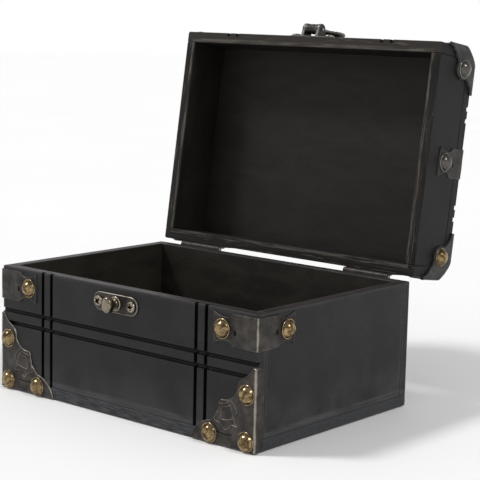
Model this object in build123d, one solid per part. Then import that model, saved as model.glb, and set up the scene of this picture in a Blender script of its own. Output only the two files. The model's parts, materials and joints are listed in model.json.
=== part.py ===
from build123d import *
import math
import os

# A small wooden chest: grooved boards, bronze corner hardware, dome studs, a two-leaf hinge pair with a
# stop, and a hasp that drops over a turn button. Millimetres, +Z up, origin at the centre of the underside.
# The lid is drawn closed and turned to its stop just before it is written, so rest is the open chest.

# ---------------------------------------------------------------- driving dimensions
WIDTH = 180.0              # X, outside the side panels
DEPTH = 124.5              # Y, front face to back face
BASE_HEIGHT = 67.2         # underside to rim
BOARD = 6.2                # thickness of every board
LID_WALL_HEIGHT = 27.1     # lid rim to the underside of the top board
RIM_GAP = 0.3              # between the two rims when closed
EDGE_ROUND = 0.5           # softened board edges
CORNER_ROUND = 1.3         # the chest's own upright corners, and the edges it stands on
OPEN_ANGLE = 98.5          # degrees from closed to the stop

GROOVE_WIDTH = 2.2
GROOVE_DEPTH = 1.6
GROOVE_PAIR = (32.2, 38.7)         # from a side edge to the centres of the two grooves
GROOVE_PAIR_HIGH = (36.7, 43.3)    # the level pair on the front, above the underside

STUD_RADIUS = 5.0
STUD_FLANGE = 0.5
STUD_DOME_RADIUS = 4.4
STUD_DOME_HEIGHT = 3.0
STUD_SHANK_RADIUS = 0.8
STUD_SHANK = 5.6
HOLE_CLEARANCE = 0.04              # nails, screws and brads in their holes, radial
HOLE_SPARE_DEPTH = 0.1             # beyond a nail's or screw's point

PLATE_SHEET = 0.7                  # lower corner plates
PLATE_HEIGHT = 41.6
PLATE_FLANGE = 5.0                 # folded onto the side face
PLATE_BOTTOM = 0.4                 # lowest edge above the underside
PLATE_STUDS = ((5.5, 28.0), (5.5, 5.2), (28.5, 5.2))   # from the corner, up

STRAP_SHEET = 0.6
STRAP_HALF_HEIGHT = 8.15
STRAP_NECK = 5.9                   # half height at the scallops
STRAP_LEG = 27.0                   # bend to tip on the base
STRAP_STUD_TO_TIP = 5.3
STRAP_TIP_HALF = 8.2               # half height at the tip
STRAP_TIP_BULGE = 0.3
STRAP_CENTRE_Z = 57.4
LID_STRAP_SHIFT = 4.5              # the lid straps are bent off centre, longer on top

CAP_PROUD = 1.4                    # corner caps stand this far off the boards
CAP_REACH = 24.7                   # corner to tip along each edge
CAP_SIDE_STUD = (11.6, 10.7)       # along the edge, down from the lid's top
CAP_TOP_STUD = (10.5, 10.5)
CAP_LOBE_RADIUS = 6.1
CAP_BALL_RADIUS = 39.3             # the sphere that rounds the cap's corner
CAP_BALL_INSET = 24.6              # its centre, inside the lid's corner along all three axes
CAP_SHELL = 1.4                    # metal left under the rounded corner
CAP_TO_WOOD = 0.2                  # relief between cap and board corner
CAP_CORNER_BLOCK = 14.0

LATCH_X = -3.1
LATCH_Z = 58.8
LATCH_LENGTH = 31.5
LATCH_HEIGHT = 10.0
LATCH_SHEET = 0.9
LATCH_SCREW_SPACING = 23.2
SCREW_HEAD_RADIUS = 2.8
SCREW_HEAD_HEIGHT = 1.7
SCREW_SHANK_RADIUS = 1.0
SCREW_SHANK = 6.0
CROWN_SHARE = 0.55                 # of a screw head's height, where its dome begins
CROSS_LENGTH = 1.15                # cross recess, as shares of the head's radius
CROSS_WIDTH = 0.26
CROSS_DEPTH = 0.6                  # share of the head's height

BUTTON_HALF_WIDTH = 3.3
BUTTON_HALF_HEIGHT = 4.2
BUTTON_UNDERSIDE = 4.6             # head's inner face, out from the front panel
BUTTON_FACE = 8.0
BUTTON_ROUND = 1.4                 # edge of the head
BUTTON_NECK_RADIUS = 2.2
BUTTON_COLLAR_RADIUS = 3.7
BUTTON_COLLAR_HEIGHT = 0.5         # low enough to pass under the closed tongue
SPINDLE_RADIUS = 1.5
SPINDLE_CLEARANCE = 0.05
RIVET_RADIUS = 2.4
RIVET_THICKNESS = 0.8
RIVET_GAP = 0.1
RIVET_POCKET_SPARE = 0.3           # round and behind the rivet

HASP_PIN_ABOVE_RIM = 9.7
HASP_PIN_OUT = 5.2                 # pin axis, out from the lid's front face
HASP_PIN_RADIUS = 0.75
HASP_BARREL_RADIUS = 3.2
HASP_EAR = (4.0, 6.0)              # the two ears, from and to, either side of the middle
HASP_PIN_LENGTH = 13.4
HASP_BORE_LENGTH = 16.0
EAR_GAP = 0.15                     # between the tongue's barrel and each ear
BARREL_RELIEF = 0.2                # the tongue's barrel is this much slimmer than the ears
PIN_CLEARANCE = 0.04
TONGUE_OUT = 5.2                   # middle of the tongue's sheet, out from the lid's front face
TONGUE_SHEET = 1.0
TONGUE_NECK = 6.0
TONGUE_SLOT_FROM_PIN = 18.4
TONGUE_EYE = (6.6, 8.0)            # half width and half length of the slotted end
TONGUE_SLOT = (7.0, 10.0)
TONGUE_RIM = 0.5
TONGUE_RIM_WIDTH = 1.2

HINGE_X = 60.0                     # centre of each hinge
HINGE_WIDTH = 29.0
HINGE_LEAF = 13.0
HINGE_SHEET = 0.8
HINGE_AXIS_OUT = 1.9               # axis behind the back face
HINGE_KNUCKLE_RADIUS = 1.75
HINGE_PIN_RADIUS = 0.8
HINGE_MIDDLE = 12.0                # length of the lid leaf's knuckle
HINGE_SIDE_GAP = 0.2
HINGE_SWEEP = 0.25                 # leaf edge to the other leaf's knuckle
HINGE_SCREW_X = 9.5
HINGE_SCREW_DROP = 7.5
HINGE_SCREW_HEAD_RADIUS = 1.9
HINGE_SCREW_HEAD_HEIGHT = 1.0
HINGE_SCREW_SHANK_RADIUS = 0.75
HINGE_SCREW_SHANK = 5.0
LEAF_EDGE_GAP = 0.1                # leaf edge to its board's rim
HINGE_PIN_PROUD = 0.3              # past each end of the barrel
STOP_TAB = (10.0, 0.77, 3.4)       # width, thickness, length of the tab that ends the lid's swing
STOP_TAB_FRONT = 1.02              # tab's bearing face, in front of the axis
STOP_TAB_DROP = 1.2                # tab's top, below the axis

BRAD_RADIUS = 0.6
BRAD_LENGTH = 16.0
BRAD_SET = 1.0                     # heads are set this deep and filled over
BASE_BRAD_HEIGHTS = (14.0, 46.0)
LID_BRAD_HEIGHTS = (7.0, 19.5)
EDGE_BRAD_X = (-45.0, 0.0, 45.0)

# ---------------------------------------------------------------- worked-out places
HALF_W = WIDTH / 2
HALF_D = DEPTH / 2
RIM = BASE_HEIGHT + RIM_GAP                        # lid rim when closed
BOARD_TOP = RIM + LID_WALL_HEIGHT                  # underside of the lid's top board
TOP = BOARD_TOP + BOARD                            # lid's outer top
HINGE_Y = HALF_D + HINGE_AXIS_OUT
HINGE_Z = BASE_HEIGHT + RIM_GAP / 2
LID_AXIS = Axis((0, HINGE_Y, HINGE_Z), (1, 0, 0))
SIDE_GROOVES = [side * (HALF_W - d) for side in (-1, 1) for d in GROOVE_PAIR]
DEPTH_GROOVES = [side * (HALF_D - d) for side in (-1, 1) for d in GROOVE_PAIR]
FRONT, BACK, LEFT, RIGHT, UP, DOWN = (0, -1, 0), (0, 1, 0), (-1, 0, 0), (1, 0, 0), (0, 0, 1), (0, 0, -1)


def spot(point, outward):
    """Location at a point, with local +Z along the outward direction."""
    return Plane(origin=point, z_dir=outward).location


def block(low, high):
    """Plain box between two opposite corners."""
    size = [b - a for a, b in zip(low, high)]
    middle = [(a + b) / 2 for a, b in zip(low, high)]
    return Pos(*middle) * Box(*size)


def on_chest_corner(edge):
    """Whether an upright edge is one of the chest's own four."""
    middle = edge.center()
    return math.isclose(abs(middle.X), HALF_W) and math.isclose(abs(middle.Y), HALF_D)


def board(low, high):
    """Wooden board between two corners: chest corners rounded, every other edge softened."""
    plain = block(low, high)
    outer = plain.edges().filter_by(Axis.Z).filter_by(on_chest_corner)
    rounded = fillet(outer, CORNER_ROUND) if outer else plain
    level = rounded.edges().filter_by(Axis.Z, reverse=True)
    upright = rounded.edges().filter_by(Axis.Z).filter_by(lambda e: upright_is_sharp(e, low, high))
    return fillet(level + upright, EDGE_ROUND)


def upright_is_sharp(edge, low, high):
    """Whether an upright edge still stands at a square corner between two points."""
    middle = edge.center()
    in_x = math.isclose(middle.X, low[0]) or math.isclose(middle.X, high[0])
    return in_x and (math.isclose(middle.Y, low[1]) or math.isclose(middle.Y, high[1]))


def bottom_board():
    """Board the chest stands on, with its lower edges rounded like the chest's corners."""
    plain = block((-HALF_W, -HALF_D, 0), (HALF_W, HALF_D, BOARD))
    rounded = fillet(plain.edges().filter_by(Axis.Z), CORNER_ROUND)
    rounded = fillet(rounded.edges().group_by(Axis.Z)[0], CORNER_ROUND * 0.9)
    return fillet(rounded.edges().group_by(Axis.Z)[-1], EDGE_ROUND)


def x_rod(radius, x_low, x_high, y, z):
    """Round rod along X."""
    return Pos((x_low + x_high) / 2, y, z) * Rot(0, 90, 0) * Cylinder(radius, x_high - x_low)


def post(radius, z_low, z_high):
    """Round post along Z."""
    return Pos(0, 0, (z_low + z_high) / 2) * Cylinder(radius, z_high - z_low)


def holes(places, radius, depth):
    """Drills that enter each place against its outward direction, and stand a little proud of it."""
    proud = 2.0
    drill = Pos(0, 0, (proud - depth) / 2) * Cylinder(radius, depth + proud)
    return [place * drill for place in places]


def group(shapes):
    """Identical separate solids as one node."""
    return Compound(children=list(shapes))


# ---------------------------------------------------------------- fasteners
def dome_stud():
    """Nail with a flanged dome head; the flange's underside is at z = 0."""
    top = STUD_FLANGE + STUD_DOME_HEIGHT
    ball = (STUD_DOME_RADIUS**2 + STUD_DOME_HEIGHT**2) / (2 * STUD_DOME_HEIGHT)
    half_turn = math.asin(STUD_DOME_RADIUS / ball) / 2
    shoulder = (ball * math.sin(half_turn), top - ball + ball * math.cos(half_turn))
    profile = Polyline(
        (0, top), (0, -STUD_SHANK), (STUD_SHANK_RADIUS * 0.4, -STUD_SHANK),
        (STUD_SHANK_RADIUS, 1.5 - STUD_SHANK), (STUD_SHANK_RADIUS, 0), (STUD_RADIUS, 0),
        (STUD_RADIUS, STUD_FLANGE), (STUD_DOME_RADIUS, STUD_FLANGE),
    )
    profile += ThreePointArc((STUD_DOME_RADIUS, STUD_FLANGE), shoulder, (0, top))
    return revolve(Plane.XZ * make_face(profile), Axis.Z)


def pan_screw(head_radius, head_height, shank_radius, shank_length):
    """Cross-head screw; the head's underside is at z = 0."""
    crown = head_height * CROWN_SHARE
    profile = Polyline(
        (0, head_height), (0, -shank_length), (shank_radius, -shank_length * 0.8),
        (shank_radius, 0), (head_radius, 0), (head_radius, crown),
    )
    shoulder = (head_radius * 0.66, head_height * 0.93)
    profile += ThreePointArc((head_radius, crown), shoulder, (0, head_height))
    screw = revolve(Plane.XZ * make_face(profile), Axis.Z)
    for turn in (0, 90):
        arm = Box(head_radius * CROSS_LENGTH, head_radius * CROSS_WIDTH, head_height * CROSS_DEPTH * 2)
        slot = Rot(0, 0, turn) * arm
        screw -= Pos(0, 0, head_height) * slot
    return screw


# ---------------------------------------------------------------- stamped hardware
def corner_plate():
    """Lower corner plate for the left front corner, with its folded side flange."""
    outline = Polyline((0, PLATE_BOTTOM), (0, PLATE_HEIGHT), (1.8, PLATE_HEIGHT))
    outline += ThreePointArc((1.8, PLATE_HEIGHT), (4.6, 37.9), (8.0, 35.6))
    outline += ThreePointArc((8.0, 35.6), (11.2, 31.9), (11.7, 28.2))
    outline += ThreePointArc((11.7, 28.2), (15.3, 24.6), (21.4, 23.2))
    outline += Line((21.4, 23.2), (22.9, 21.6))
    outline += ThreePointArc((22.9, 21.6), (24.6, 15.4), (28.6, 11.6))
    outline += ThreePointArc((28.6, 11.6), (36.6, 7.4), (40.2, 1.6))
    outline += Polyline((40.2, 1.6), (40.2, PLATE_BOTTOM), (0, PLATE_BOTTOM))
    on_front = Plane(origin=(-HALF_W, -HALF_D, 0), x_dir=RIGHT, z_dir=FRONT)
    face = extrude(on_front * make_face(outline), PLATE_SHEET)
    flange = block(
        (-HALF_W - PLATE_SHEET, -HALF_D - PLATE_SHEET, PLATE_BOTTOM),
        (-HALF_W, -HALF_D + PLATE_FLANGE, PLATE_HEIGHT),
    )
    inner_ends = flange.edges().filter_by(Axis.X).group_by(Axis.Y)[-1]
    flange = fillet(inner_ends, PLATE_FLANGE * 0.8)
    plate = face + flange
    for hole in holes(plate_stud_places(PLATE_SHEET), STUD_SHANK_RADIUS + HOLE_CLEARANCE, PLATE_SHEET * 2):
        plate -= hole
    return plate


def plate_stud_places(off_wood):
    """Stud seats of the left plate, at a height off the front panel."""
    return [spot((-HALF_W + x, -HALF_D - off_wood, z), FRONT) for x, z in PLATE_STUDS]


def strap_leg(length):
    """Outline of one strap leg from the bend at x = 0 to its horned tip, symmetric about y = 0."""
    wide, neck = STRAP_HALF_HEIGHT, STRAP_NECK
    half_tip, scallop, waist = STRAP_TIP_HALF, length - 12.0, length - 7.6
    upper = Line((0, wide), (scallop, wide))
    upper += ThreePointArc((scallop, wide), (scallop + 1.6, wide - 1.5), (waist, neck))
    upper += ThreePointArc((waist, neck), (length - 3.2, neck + 0.8), (length, half_tip))
    lower = mirror(upper, Plane.XZ)
    tip = ThreePointArc((length, half_tip), (length + STRAP_TIP_BULGE, 0), (length, -half_tip))
    root = Line((0, -wide), (0, wide))
    return make_face(upper + lower + tip + root)


def strap(length_x, length_y):
    """Strap bent round a vertical edge at the origin: one leg along +X, one along +Y, metal outside."""
    along_x = Plane(origin=(0, 0, 0), x_dir=RIGHT, z_dir=FRONT)
    along_y = Plane(origin=(0, 0, 0), x_dir=BACK, z_dir=RIGHT)
    leg_x = extrude(along_x * strap_leg(length_x), STRAP_SHEET)
    leg_y = extrude(along_y * strap_leg(length_y), -STRAP_SHEET)
    bend = block((-STRAP_SHEET, -STRAP_SHEET, -STRAP_HALF_HEIGHT), (0, 0, STRAP_HALF_HEIGHT))
    bent = leg_x + leg_y + bend
    seats = strap_seats(length_x, length_y)
    for hole in holes(seats, STUD_SHANK_RADIUS + HOLE_CLEARANCE, STRAP_SHEET * 2):
        bent -= hole
    return bent


def strap_seats(length_x, length_y):
    """The two stud seats of a strap, in the strap's own frame."""
    x, y = length_x - STRAP_STUD_TO_TIP, length_y - STRAP_STUD_TO_TIP
    return [spot((x, -STRAP_SHEET, 0), FRONT), spot((-STRAP_SHEET, y, 0), LEFT)]


def cap_outline(stud):
    """Cap outline on one face: corner at (0, 0), tips along both edges, a lobe round the stud."""
    reach, out = CAP_REACH, -CAP_PROUD
    outline = Polyline((out, out), (reach, out), (reach, 1.0))
    outline += ThreePointArc((reach, 1.0), (20.0, 3.6), (17.0, 8.0))
    outline += Line((17.0, 8.0), (8.0, 17.0))
    outline += ThreePointArc((8.0, 17.0), (3.6, 20.0), (1.0, reach))
    outline += Polyline((1.0, reach), (out, reach), (out, out))
    return make_face(outline) + Pos(stud[0], stud[1]) * Circle(CAP_LOBE_RADIUS)


def corner_ball(radius):
    """Sphere that rounds the left front corner of the lid."""
    inset = CAP_BALL_INSET
    return Pos(inset - HALF_W, inset - HALF_D, TOP - inset) * Sphere(radius)


def corner_block():
    """Cube at the left front corner of the lid, standing proud by the cap's thickness."""
    size, out = CAP_CORNER_BLOCK, CAP_PROUD
    return block((-HALF_W - out, -HALF_D - out, TOP - size), (size - HALF_W, size - HALF_D, TOP + out))


def corner_relief():
    """What is taken off the boards' corner so that the cap's rounded corner fits over it."""
    return corner_block() - corner_ball(CAP_BALL_RADIUS - CAP_SHELL - CAP_TO_WOOD)


def cap_side_seats():
    """Stud seats on the left front cap: one on its side face, one on top."""
    along, down = CAP_SIDE_STUD
    side = spot((-HALF_W - CAP_PROUD, along - HALF_D, TOP - down), LEFT)
    top = spot((CAP_TOP_STUD[0] - HALF_W, CAP_TOP_STUD[1] - HALF_D, TOP + CAP_PROUD), UP)
    return [side, top]


def corner_cap():
    """Three-sided cap for the left front corner of the lid."""
    corner = (-HALF_W, -HALF_D, TOP)
    on_side = Plane(origin=corner, x_dir=BACK, z_dir=RIGHT)      # local y is up
    on_front = Plane(origin=corner, x_dir=RIGHT, z_dir=FRONT)    # local y is up
    on_top = Plane(origin=corner, x_dir=RIGHT, z_dir=UP)
    flip = Plane.XZ
    side = extrude(on_side * mirror(cap_outline(CAP_SIDE_STUD), flip), -CAP_PROUD)
    front = extrude(on_front * mirror(cap_outline(CAP_TOP_STUD), flip), CAP_PROUD)
    top = extrude(on_top * cap_outline(CAP_TOP_STUD), CAP_PROUD)
    rounded_corner = corner_block() - corner_ball(CAP_BALL_RADIUS - CAP_SHELL)
    span = CAP_REACH + CAP_PROUD
    envelope = block(
        (-HALF_W - CAP_PROUD, -HALF_D - CAP_PROUD, TOP - span),
        (span - HALF_W, span - HALF_D, TOP + CAP_PROUD),
    )
    outer_edges = envelope.edges().filter_by(Axis.Z).sort_by(Axis.X)[:2].sort_by(Axis.Y)[:1]
    outer_edges += envelope.edges().filter_by(Axis.X).group_by(Axis.Z)[-1].sort_by(Axis.Y)[:1]
    outer_edges += envelope.edges().filter_by(Axis.Y).group_by(Axis.Z)[-1].sort_by(Axis.X)[:1]
    envelope = fillet(outer_edges, CAP_PROUD * 0.9)
    cap = (side + front + top + rounded_corner) & envelope & corner_ball(CAP_BALL_RADIUS)
    for hole in holes(cap_side_seats(), STUD_SHANK_RADIUS + HOLE_CLEARANCE, CAP_PROUD * 1.5):
        cap -= hole
    return cap


def screw_plate(z):
    """Round-ended plate on the front, bored for its two screws."""
    on_front = Plane(origin=(LATCH_X, -HALF_D, z), x_dir=RIGHT, z_dir=FRONT)
    plate = extrude(on_front * SlotOverall(LATCH_LENGTH, LATCH_HEIGHT), LATCH_SHEET)
    rim = plate.edges().group_by(Axis.Y)[0]
    plate = fillet(rim, LATCH_SHEET * 0.4)
    for hole in holes(screw_plate_seats(z), SCREW_SHANK_RADIUS + HOLE_CLEARANCE, LATCH_SHEET * 2):
        plate -= hole
    return plate


def screw_plate_seats(z):
    """The two screw seats of a round-ended plate."""
    half = LATCH_SCREW_SPACING / 2
    return [spot((LATCH_X + side * half, -HALF_D - LATCH_SHEET, z), FRONT) for side in (-1, 1)]


def plate_screw():
    """Screw for the two round-ended plates."""
    return pan_screw(SCREW_HEAD_RADIUS, SCREW_HEAD_HEIGHT, SCREW_SHANK_RADIUS, SCREW_SHANK)


def screw_holes(seats):
    """Pilot holes for plate screws, in line with their seats."""
    return holes(seats, SCREW_SHANK_RADIUS + HOLE_CLEARANCE, SCREW_SHANK + HOLE_SPARE_DEPTH)


def turn_button():
    """Oval knob on a collared, riveted spindle, long side upright."""
    axis = Plane(origin=(LATCH_X, -HALF_D, LATCH_Z), x_dir=RIGHT, z_dir=FRONT)
    head = extrude(Ellipse(BUTTON_HALF_WIDTH, BUTTON_HALF_HEIGHT), BUTTON_FACE - BUTTON_UNDERSIDE)
    head = fillet(head.edges().group_by(Axis.Z)[-1], BUTTON_ROUND)
    knob = Pos(0, 0, BUTTON_UNDERSIDE) * head
    neck_start = LATCH_SHEET + SPINDLE_CLEARANCE
    neck = post(BUTTON_NECK_RADIUS, neck_start, BUTTON_UNDERSIDE)
    collar = post(BUTTON_COLLAR_RADIUS, neck_start, neck_start + BUTTON_COLLAR_HEIGHT)
    rivet_bottom = -RIVET_GAP - RIVET_THICKNESS
    spindle = post(SPINDLE_RADIUS, rivet_bottom, neck_start)
    rivet = post(RIVET_RADIUS, rivet_bottom, -RIVET_GAP)
    return axis * (knob + neck + collar + spindle + rivet)


def spindle_bore():
    """Running hole for the turn button's spindle."""
    return spot((LATCH_X, -HALF_D, LATCH_Z), FRONT) * Cylinder(
        SPINDLE_RADIUS + SPINDLE_CLEARANCE, LATCH_SHEET * 3)


# ---------------------------------------------------------------- hasp
HASP_Y = -HALF_D - HASP_PIN_OUT
HASP_Z = RIM + HASP_PIN_ABOVE_RIM


def hasp_bore():
    """Hole for the hasp pin."""
    half = HASP_BORE_LENGTH / 2
    return x_rod(HASP_PIN_RADIUS + PIN_CLEARANCE, LATCH_X - half, LATCH_X + half, HASP_Y, HASP_Z)


def hasp_plate():
    """Round-ended plate with two ears that hold the hasp pin."""
    plate = screw_plate(HASP_Z)
    for side in (-1, 1):
        ends = sorted(LATCH_X + side * e for e in HASP_EAR)
        eye = x_rod(HASP_BARREL_RADIUS, ends[0], ends[1], HASP_Y, HASP_Z)
        foot = block(
            (ends[0], HASP_Y, HASP_Z - HASP_BARREL_RADIUS),
            (ends[1], -HALF_D - LATCH_SHEET / 2, HASP_Z + HASP_BARREL_RADIUS),
        )
        plate += eye + foot
    return plate - hasp_bore()


def hasp_pin():
    """Pin through the ears and the tongue."""
    half = HASP_PIN_LENGTH / 2
    return x_rod(HASP_PIN_RADIUS, LATCH_X - half, LATCH_X + half, HASP_Y, HASP_Z)


def hasp_tongue():
    """Tongue folded back up the lid: barrel, neck and slotted eye."""
    sheet_back = TONGUE_OUT - TONGUE_SHEET / 2
    flat = Plane(origin=(LATCH_X, -HALF_D - sheet_back, HASP_Z), x_dir=RIGHT, z_dir=FRONT)
    eye_centre = Pos(0, TONGUE_SLOT_FROM_PIN)
    eye = eye_centre * Ellipse(*TONGUE_EYE)
    neck = Pos(0, TONGUE_SLOT_FROM_PIN / 2) * Rectangle(TONGUE_NECK, TONGUE_SLOT_FROM_PIN)
    tongue = extrude(flat * (eye + neck), TONGUE_SHEET)
    half_x, half_y = (half - TONGUE_RIM_WIDTH for half in TONGUE_EYE)
    border = eye - eye_centre * Ellipse(half_x, half_y)
    tongue += extrude(flat * border, -TONGUE_RIM)
    barrel_half = HASP_EAR[0] - EAR_GAP
    barrel_radius = HASP_BARREL_RADIUS - BARREL_RELIEF
    tongue += x_rod(barrel_radius, LATCH_X - barrel_half, LATCH_X + barrel_half, HASP_Y, HASP_Z)
    slot = flat * eye_centre * Rot(0, 0, 90) * SlotOverall(TONGUE_SLOT[1], TONGUE_SLOT[0])
    tongue -= extrude(slot, TONGUE_SHEET * 3, both=True)
    return tongue - hasp_bore()


# ---------------------------------------------------------------- hinges
def hinge_outer_spans(x, grow):
    """The two stretches of barrel that belong to the base leaf, grown by a clearance."""
    outer, inner = HINGE_WIDTH / 2, HINGE_MIDDLE / 2 + HINGE_SIDE_GAP
    return [(x - outer - grow, x - inner + grow), (x + inner - grow, x + outer + grow)]


def hinge_screw_seats(x, z, off_wood):
    """Two screw seats on a leaf."""
    return [spot((x + side * HINGE_SCREW_X, HALF_D + off_wood, z), BACK) for side in (-1, 1)]


def both_hinge_seats(z):
    """Screw seats on the leaves of both hinges at one height."""
    return [seat for x in (-HINGE_X, HINGE_X) for seat in hinge_screw_seats(x, z, HINGE_SHEET)]


def hinge_screw():
    """Small screw for the hinge leaves."""
    return pan_screw(
        HINGE_SCREW_HEAD_RADIUS, HINGE_SCREW_HEAD_HEIGHT, HINGE_SCREW_SHANK_RADIUS, HINGE_SCREW_SHANK)


def hinge_screw_holes(seats):
    """Pilot holes for hinge screws, in line with their seats."""
    return holes(seats, HINGE_SCREW_SHANK_RADIUS + HOLE_CLEARANCE, HINGE_SCREW_SHANK + HOLE_SPARE_DEPTH)


def finish_leaf(leaf, x, screw_z):
    """Bores a leaf for its pin and its screws."""
    leaf -= x_rod(HINGE_PIN_RADIUS + PIN_CLEARANCE, x - HINGE_WIDTH, x + HINGE_WIDTH, HINGE_Y, HINGE_Z)
    hole_radius = HINGE_SCREW_SHANK_RADIUS + HOLE_CLEARANCE
    for hole in holes(hinge_screw_seats(x, screw_z, HINGE_SHEET), hole_radius, HINGE_SHEET * 2):
        leaf -= hole
    return leaf


def base_leaf(x):
    """Hinge leaf on the base's back panel, with the two outer knuckles."""
    half = HINGE_WIDTH / 2
    leaf = block(
        (x - half, HALF_D, BASE_HEIGHT - HINGE_LEAF),
        (x + half, HALF_D + HINGE_SHEET, BASE_HEIGHT - LEAF_EDGE_GAP),
    )
    middle = HINGE_MIDDLE / 2 + HINGE_SIDE_GAP
    leaf -= x_rod(HINGE_KNUCKLE_RADIUS + HINGE_SWEEP, x - middle, x + middle, HINGE_Y, HINGE_Z)
    for low, high in hinge_outer_spans(x, 0):
        leaf += x_rod(HINGE_KNUCKLE_RADIUS, low, high, HINGE_Y, HINGE_Z)
    return finish_leaf(leaf, x, BASE_HEIGHT - HINGE_SCREW_DROP)


def lid_leaf(x):
    """Hinge leaf on the lid's back wall, with the middle knuckle and the stop tab."""
    half = HINGE_WIDTH / 2
    leaf = block((x - half, HALF_D, RIM + LEAF_EDGE_GAP), (x + half, HALF_D + HINGE_SHEET, RIM + HINGE_LEAF))
    for low, high in hinge_outer_spans(x, HINGE_SIDE_GAP):
        leaf -= x_rod(HINGE_KNUCKLE_RADIUS + HINGE_SWEEP, low, high, HINGE_Y, HINGE_Z)
    middle = HINGE_MIDDLE / 2
    leaf += x_rod(HINGE_KNUCKLE_RADIUS, x - middle, x + middle, HINGE_Y, HINGE_Z)
    tab_width, tab_thickness, tab_length = STOP_TAB
    tab_front, tab_top = HINGE_Y - STOP_TAB_FRONT, HINGE_Z - STOP_TAB_DROP
    tab = block(
        (x - tab_width / 2, tab_front, tab_top - tab_length),
        (x + tab_width / 2, tab_front + tab_thickness, tab_top),
    )
    leaf += tab.rotate(LID_AXIS, OPEN_ANGLE)       # drawn where it bears at the stop, turned back to closed
    return finish_leaf(leaf, x, RIM + HINGE_SCREW_DROP)


def hinge_pin(x):
    """Pin through one hinge's barrel."""
    half = HINGE_WIDTH / 2 + HINGE_PIN_PROUD
    return x_rod(HINGE_PIN_RADIUS, x - half, x + half, HINGE_Y, HINGE_Z)


# ---------------------------------------------------------------- boards
def front_grooves(z_low, z_high):
    """Cutters for the upright groove pairs near both ends of a front board."""
    half, out, bottom = GROOVE_WIDTH / 2, -HALF_D - 1, -HALF_D + GROOVE_DEPTH
    return [block((x - half, out, z_low - 1), (x + half, bottom, z_high + 1)) for x in SIDE_GROOVES]


def level_grooves():
    """Cutters for the level groove pair along the base's front panel."""
    half, out, bottom = GROOVE_WIDTH / 2, -HALF_D - 1, -HALF_D + GROOVE_DEPTH
    end = HALF_W + 1
    return [block((-end, out, z - half), (end, bottom, z + half)) for z in GROOVE_PAIR_HIGH]


def top_grooves():
    """Cutters for the crossing groove pairs over the lid's top board."""
    half, out, bottom = GROOVE_WIDTH / 2, TOP + 1, TOP - GROOVE_DEPTH
    end_x, end_y = HALF_W + 1, HALF_D + 1
    long_way = [block((-end_x, y - half, bottom), (end_x, y + half, out)) for y in DEPTH_GROOVES]
    short_way = [block((x - half, -end_y, bottom), (x + half, end_y, out)) for x in SIDE_GROOVES]
    return long_way + short_way


def four_walls(z_low, z_high):
    """Front and back boards over the ends of the side boards."""
    inner_x, inner_y = HALF_W - BOARD, HALF_D - BOARD
    return {
        "front": board((-HALF_W, -HALF_D, z_low), (HALF_W, -inner_y, z_high)),
        "back": board((-HALF_W, inner_y, z_low), (HALF_W, HALF_D, z_high)),
        "left": board((-HALF_W, -inner_y, z_low), (-inner_x, inner_y, z_high)),
        "right": board((inner_x, -inner_y, z_low), (HALF_W, inner_y, z_high)),
    }


def both_sides(shape):
    """A left-hand shape and its mirror image on the right."""
    return [shape, mirror(shape, Plane.YZ)]


def all_corners(shape):
    """A left front shape and its images at the other three corners: left back, right front, right back."""
    behind = mirror(shape, Plane.XZ)
    return [shape, behind, mirror(shape, Plane.YZ), mirror(behind, Plane.YZ)]


def brad(place):
    """Headless brad, driven below the surface at a place."""
    return place * Pos(0, 0, -BRAD_SET - BRAD_LENGTH / 2) * Cylinder(BRAD_RADIUS, BRAD_LENGTH)


def brad_pocket(place):
    """Closed hole that a brad fills."""
    length = BRAD_LENGTH + 2 * HOLE_CLEARANCE
    middle = Pos(0, 0, -BRAD_SET - BRAD_LENGTH / 2)
    return place * middle * Cylinder(BRAD_RADIUS + HOLE_CLEARANCE, length)


def corner_brad_places(heights):
    """Brads through the front and back boards into the ends of the side boards."""
    x = HALF_W - BOARD / 2
    ends = [(side * x, end) for side in (-1, 1) for end in (-1, 1)]
    return [spot((x, end * HALF_D, z), (0, end, 0)) for x, end in ends for z in heights]


def edge_brad_places(z, outward):
    """Brads through a bottom or top board into the front and back boards."""
    y = HALF_D - BOARD / 2
    return [spot((x, side * y, z), outward) for x in EDGE_BRAD_X for side in (-1, 1)]


def cut(shape, cutters):
    """Takes every cutter out of a shape."""
    for cutter in cutters:
        shape -= cutter
    return shape


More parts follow.
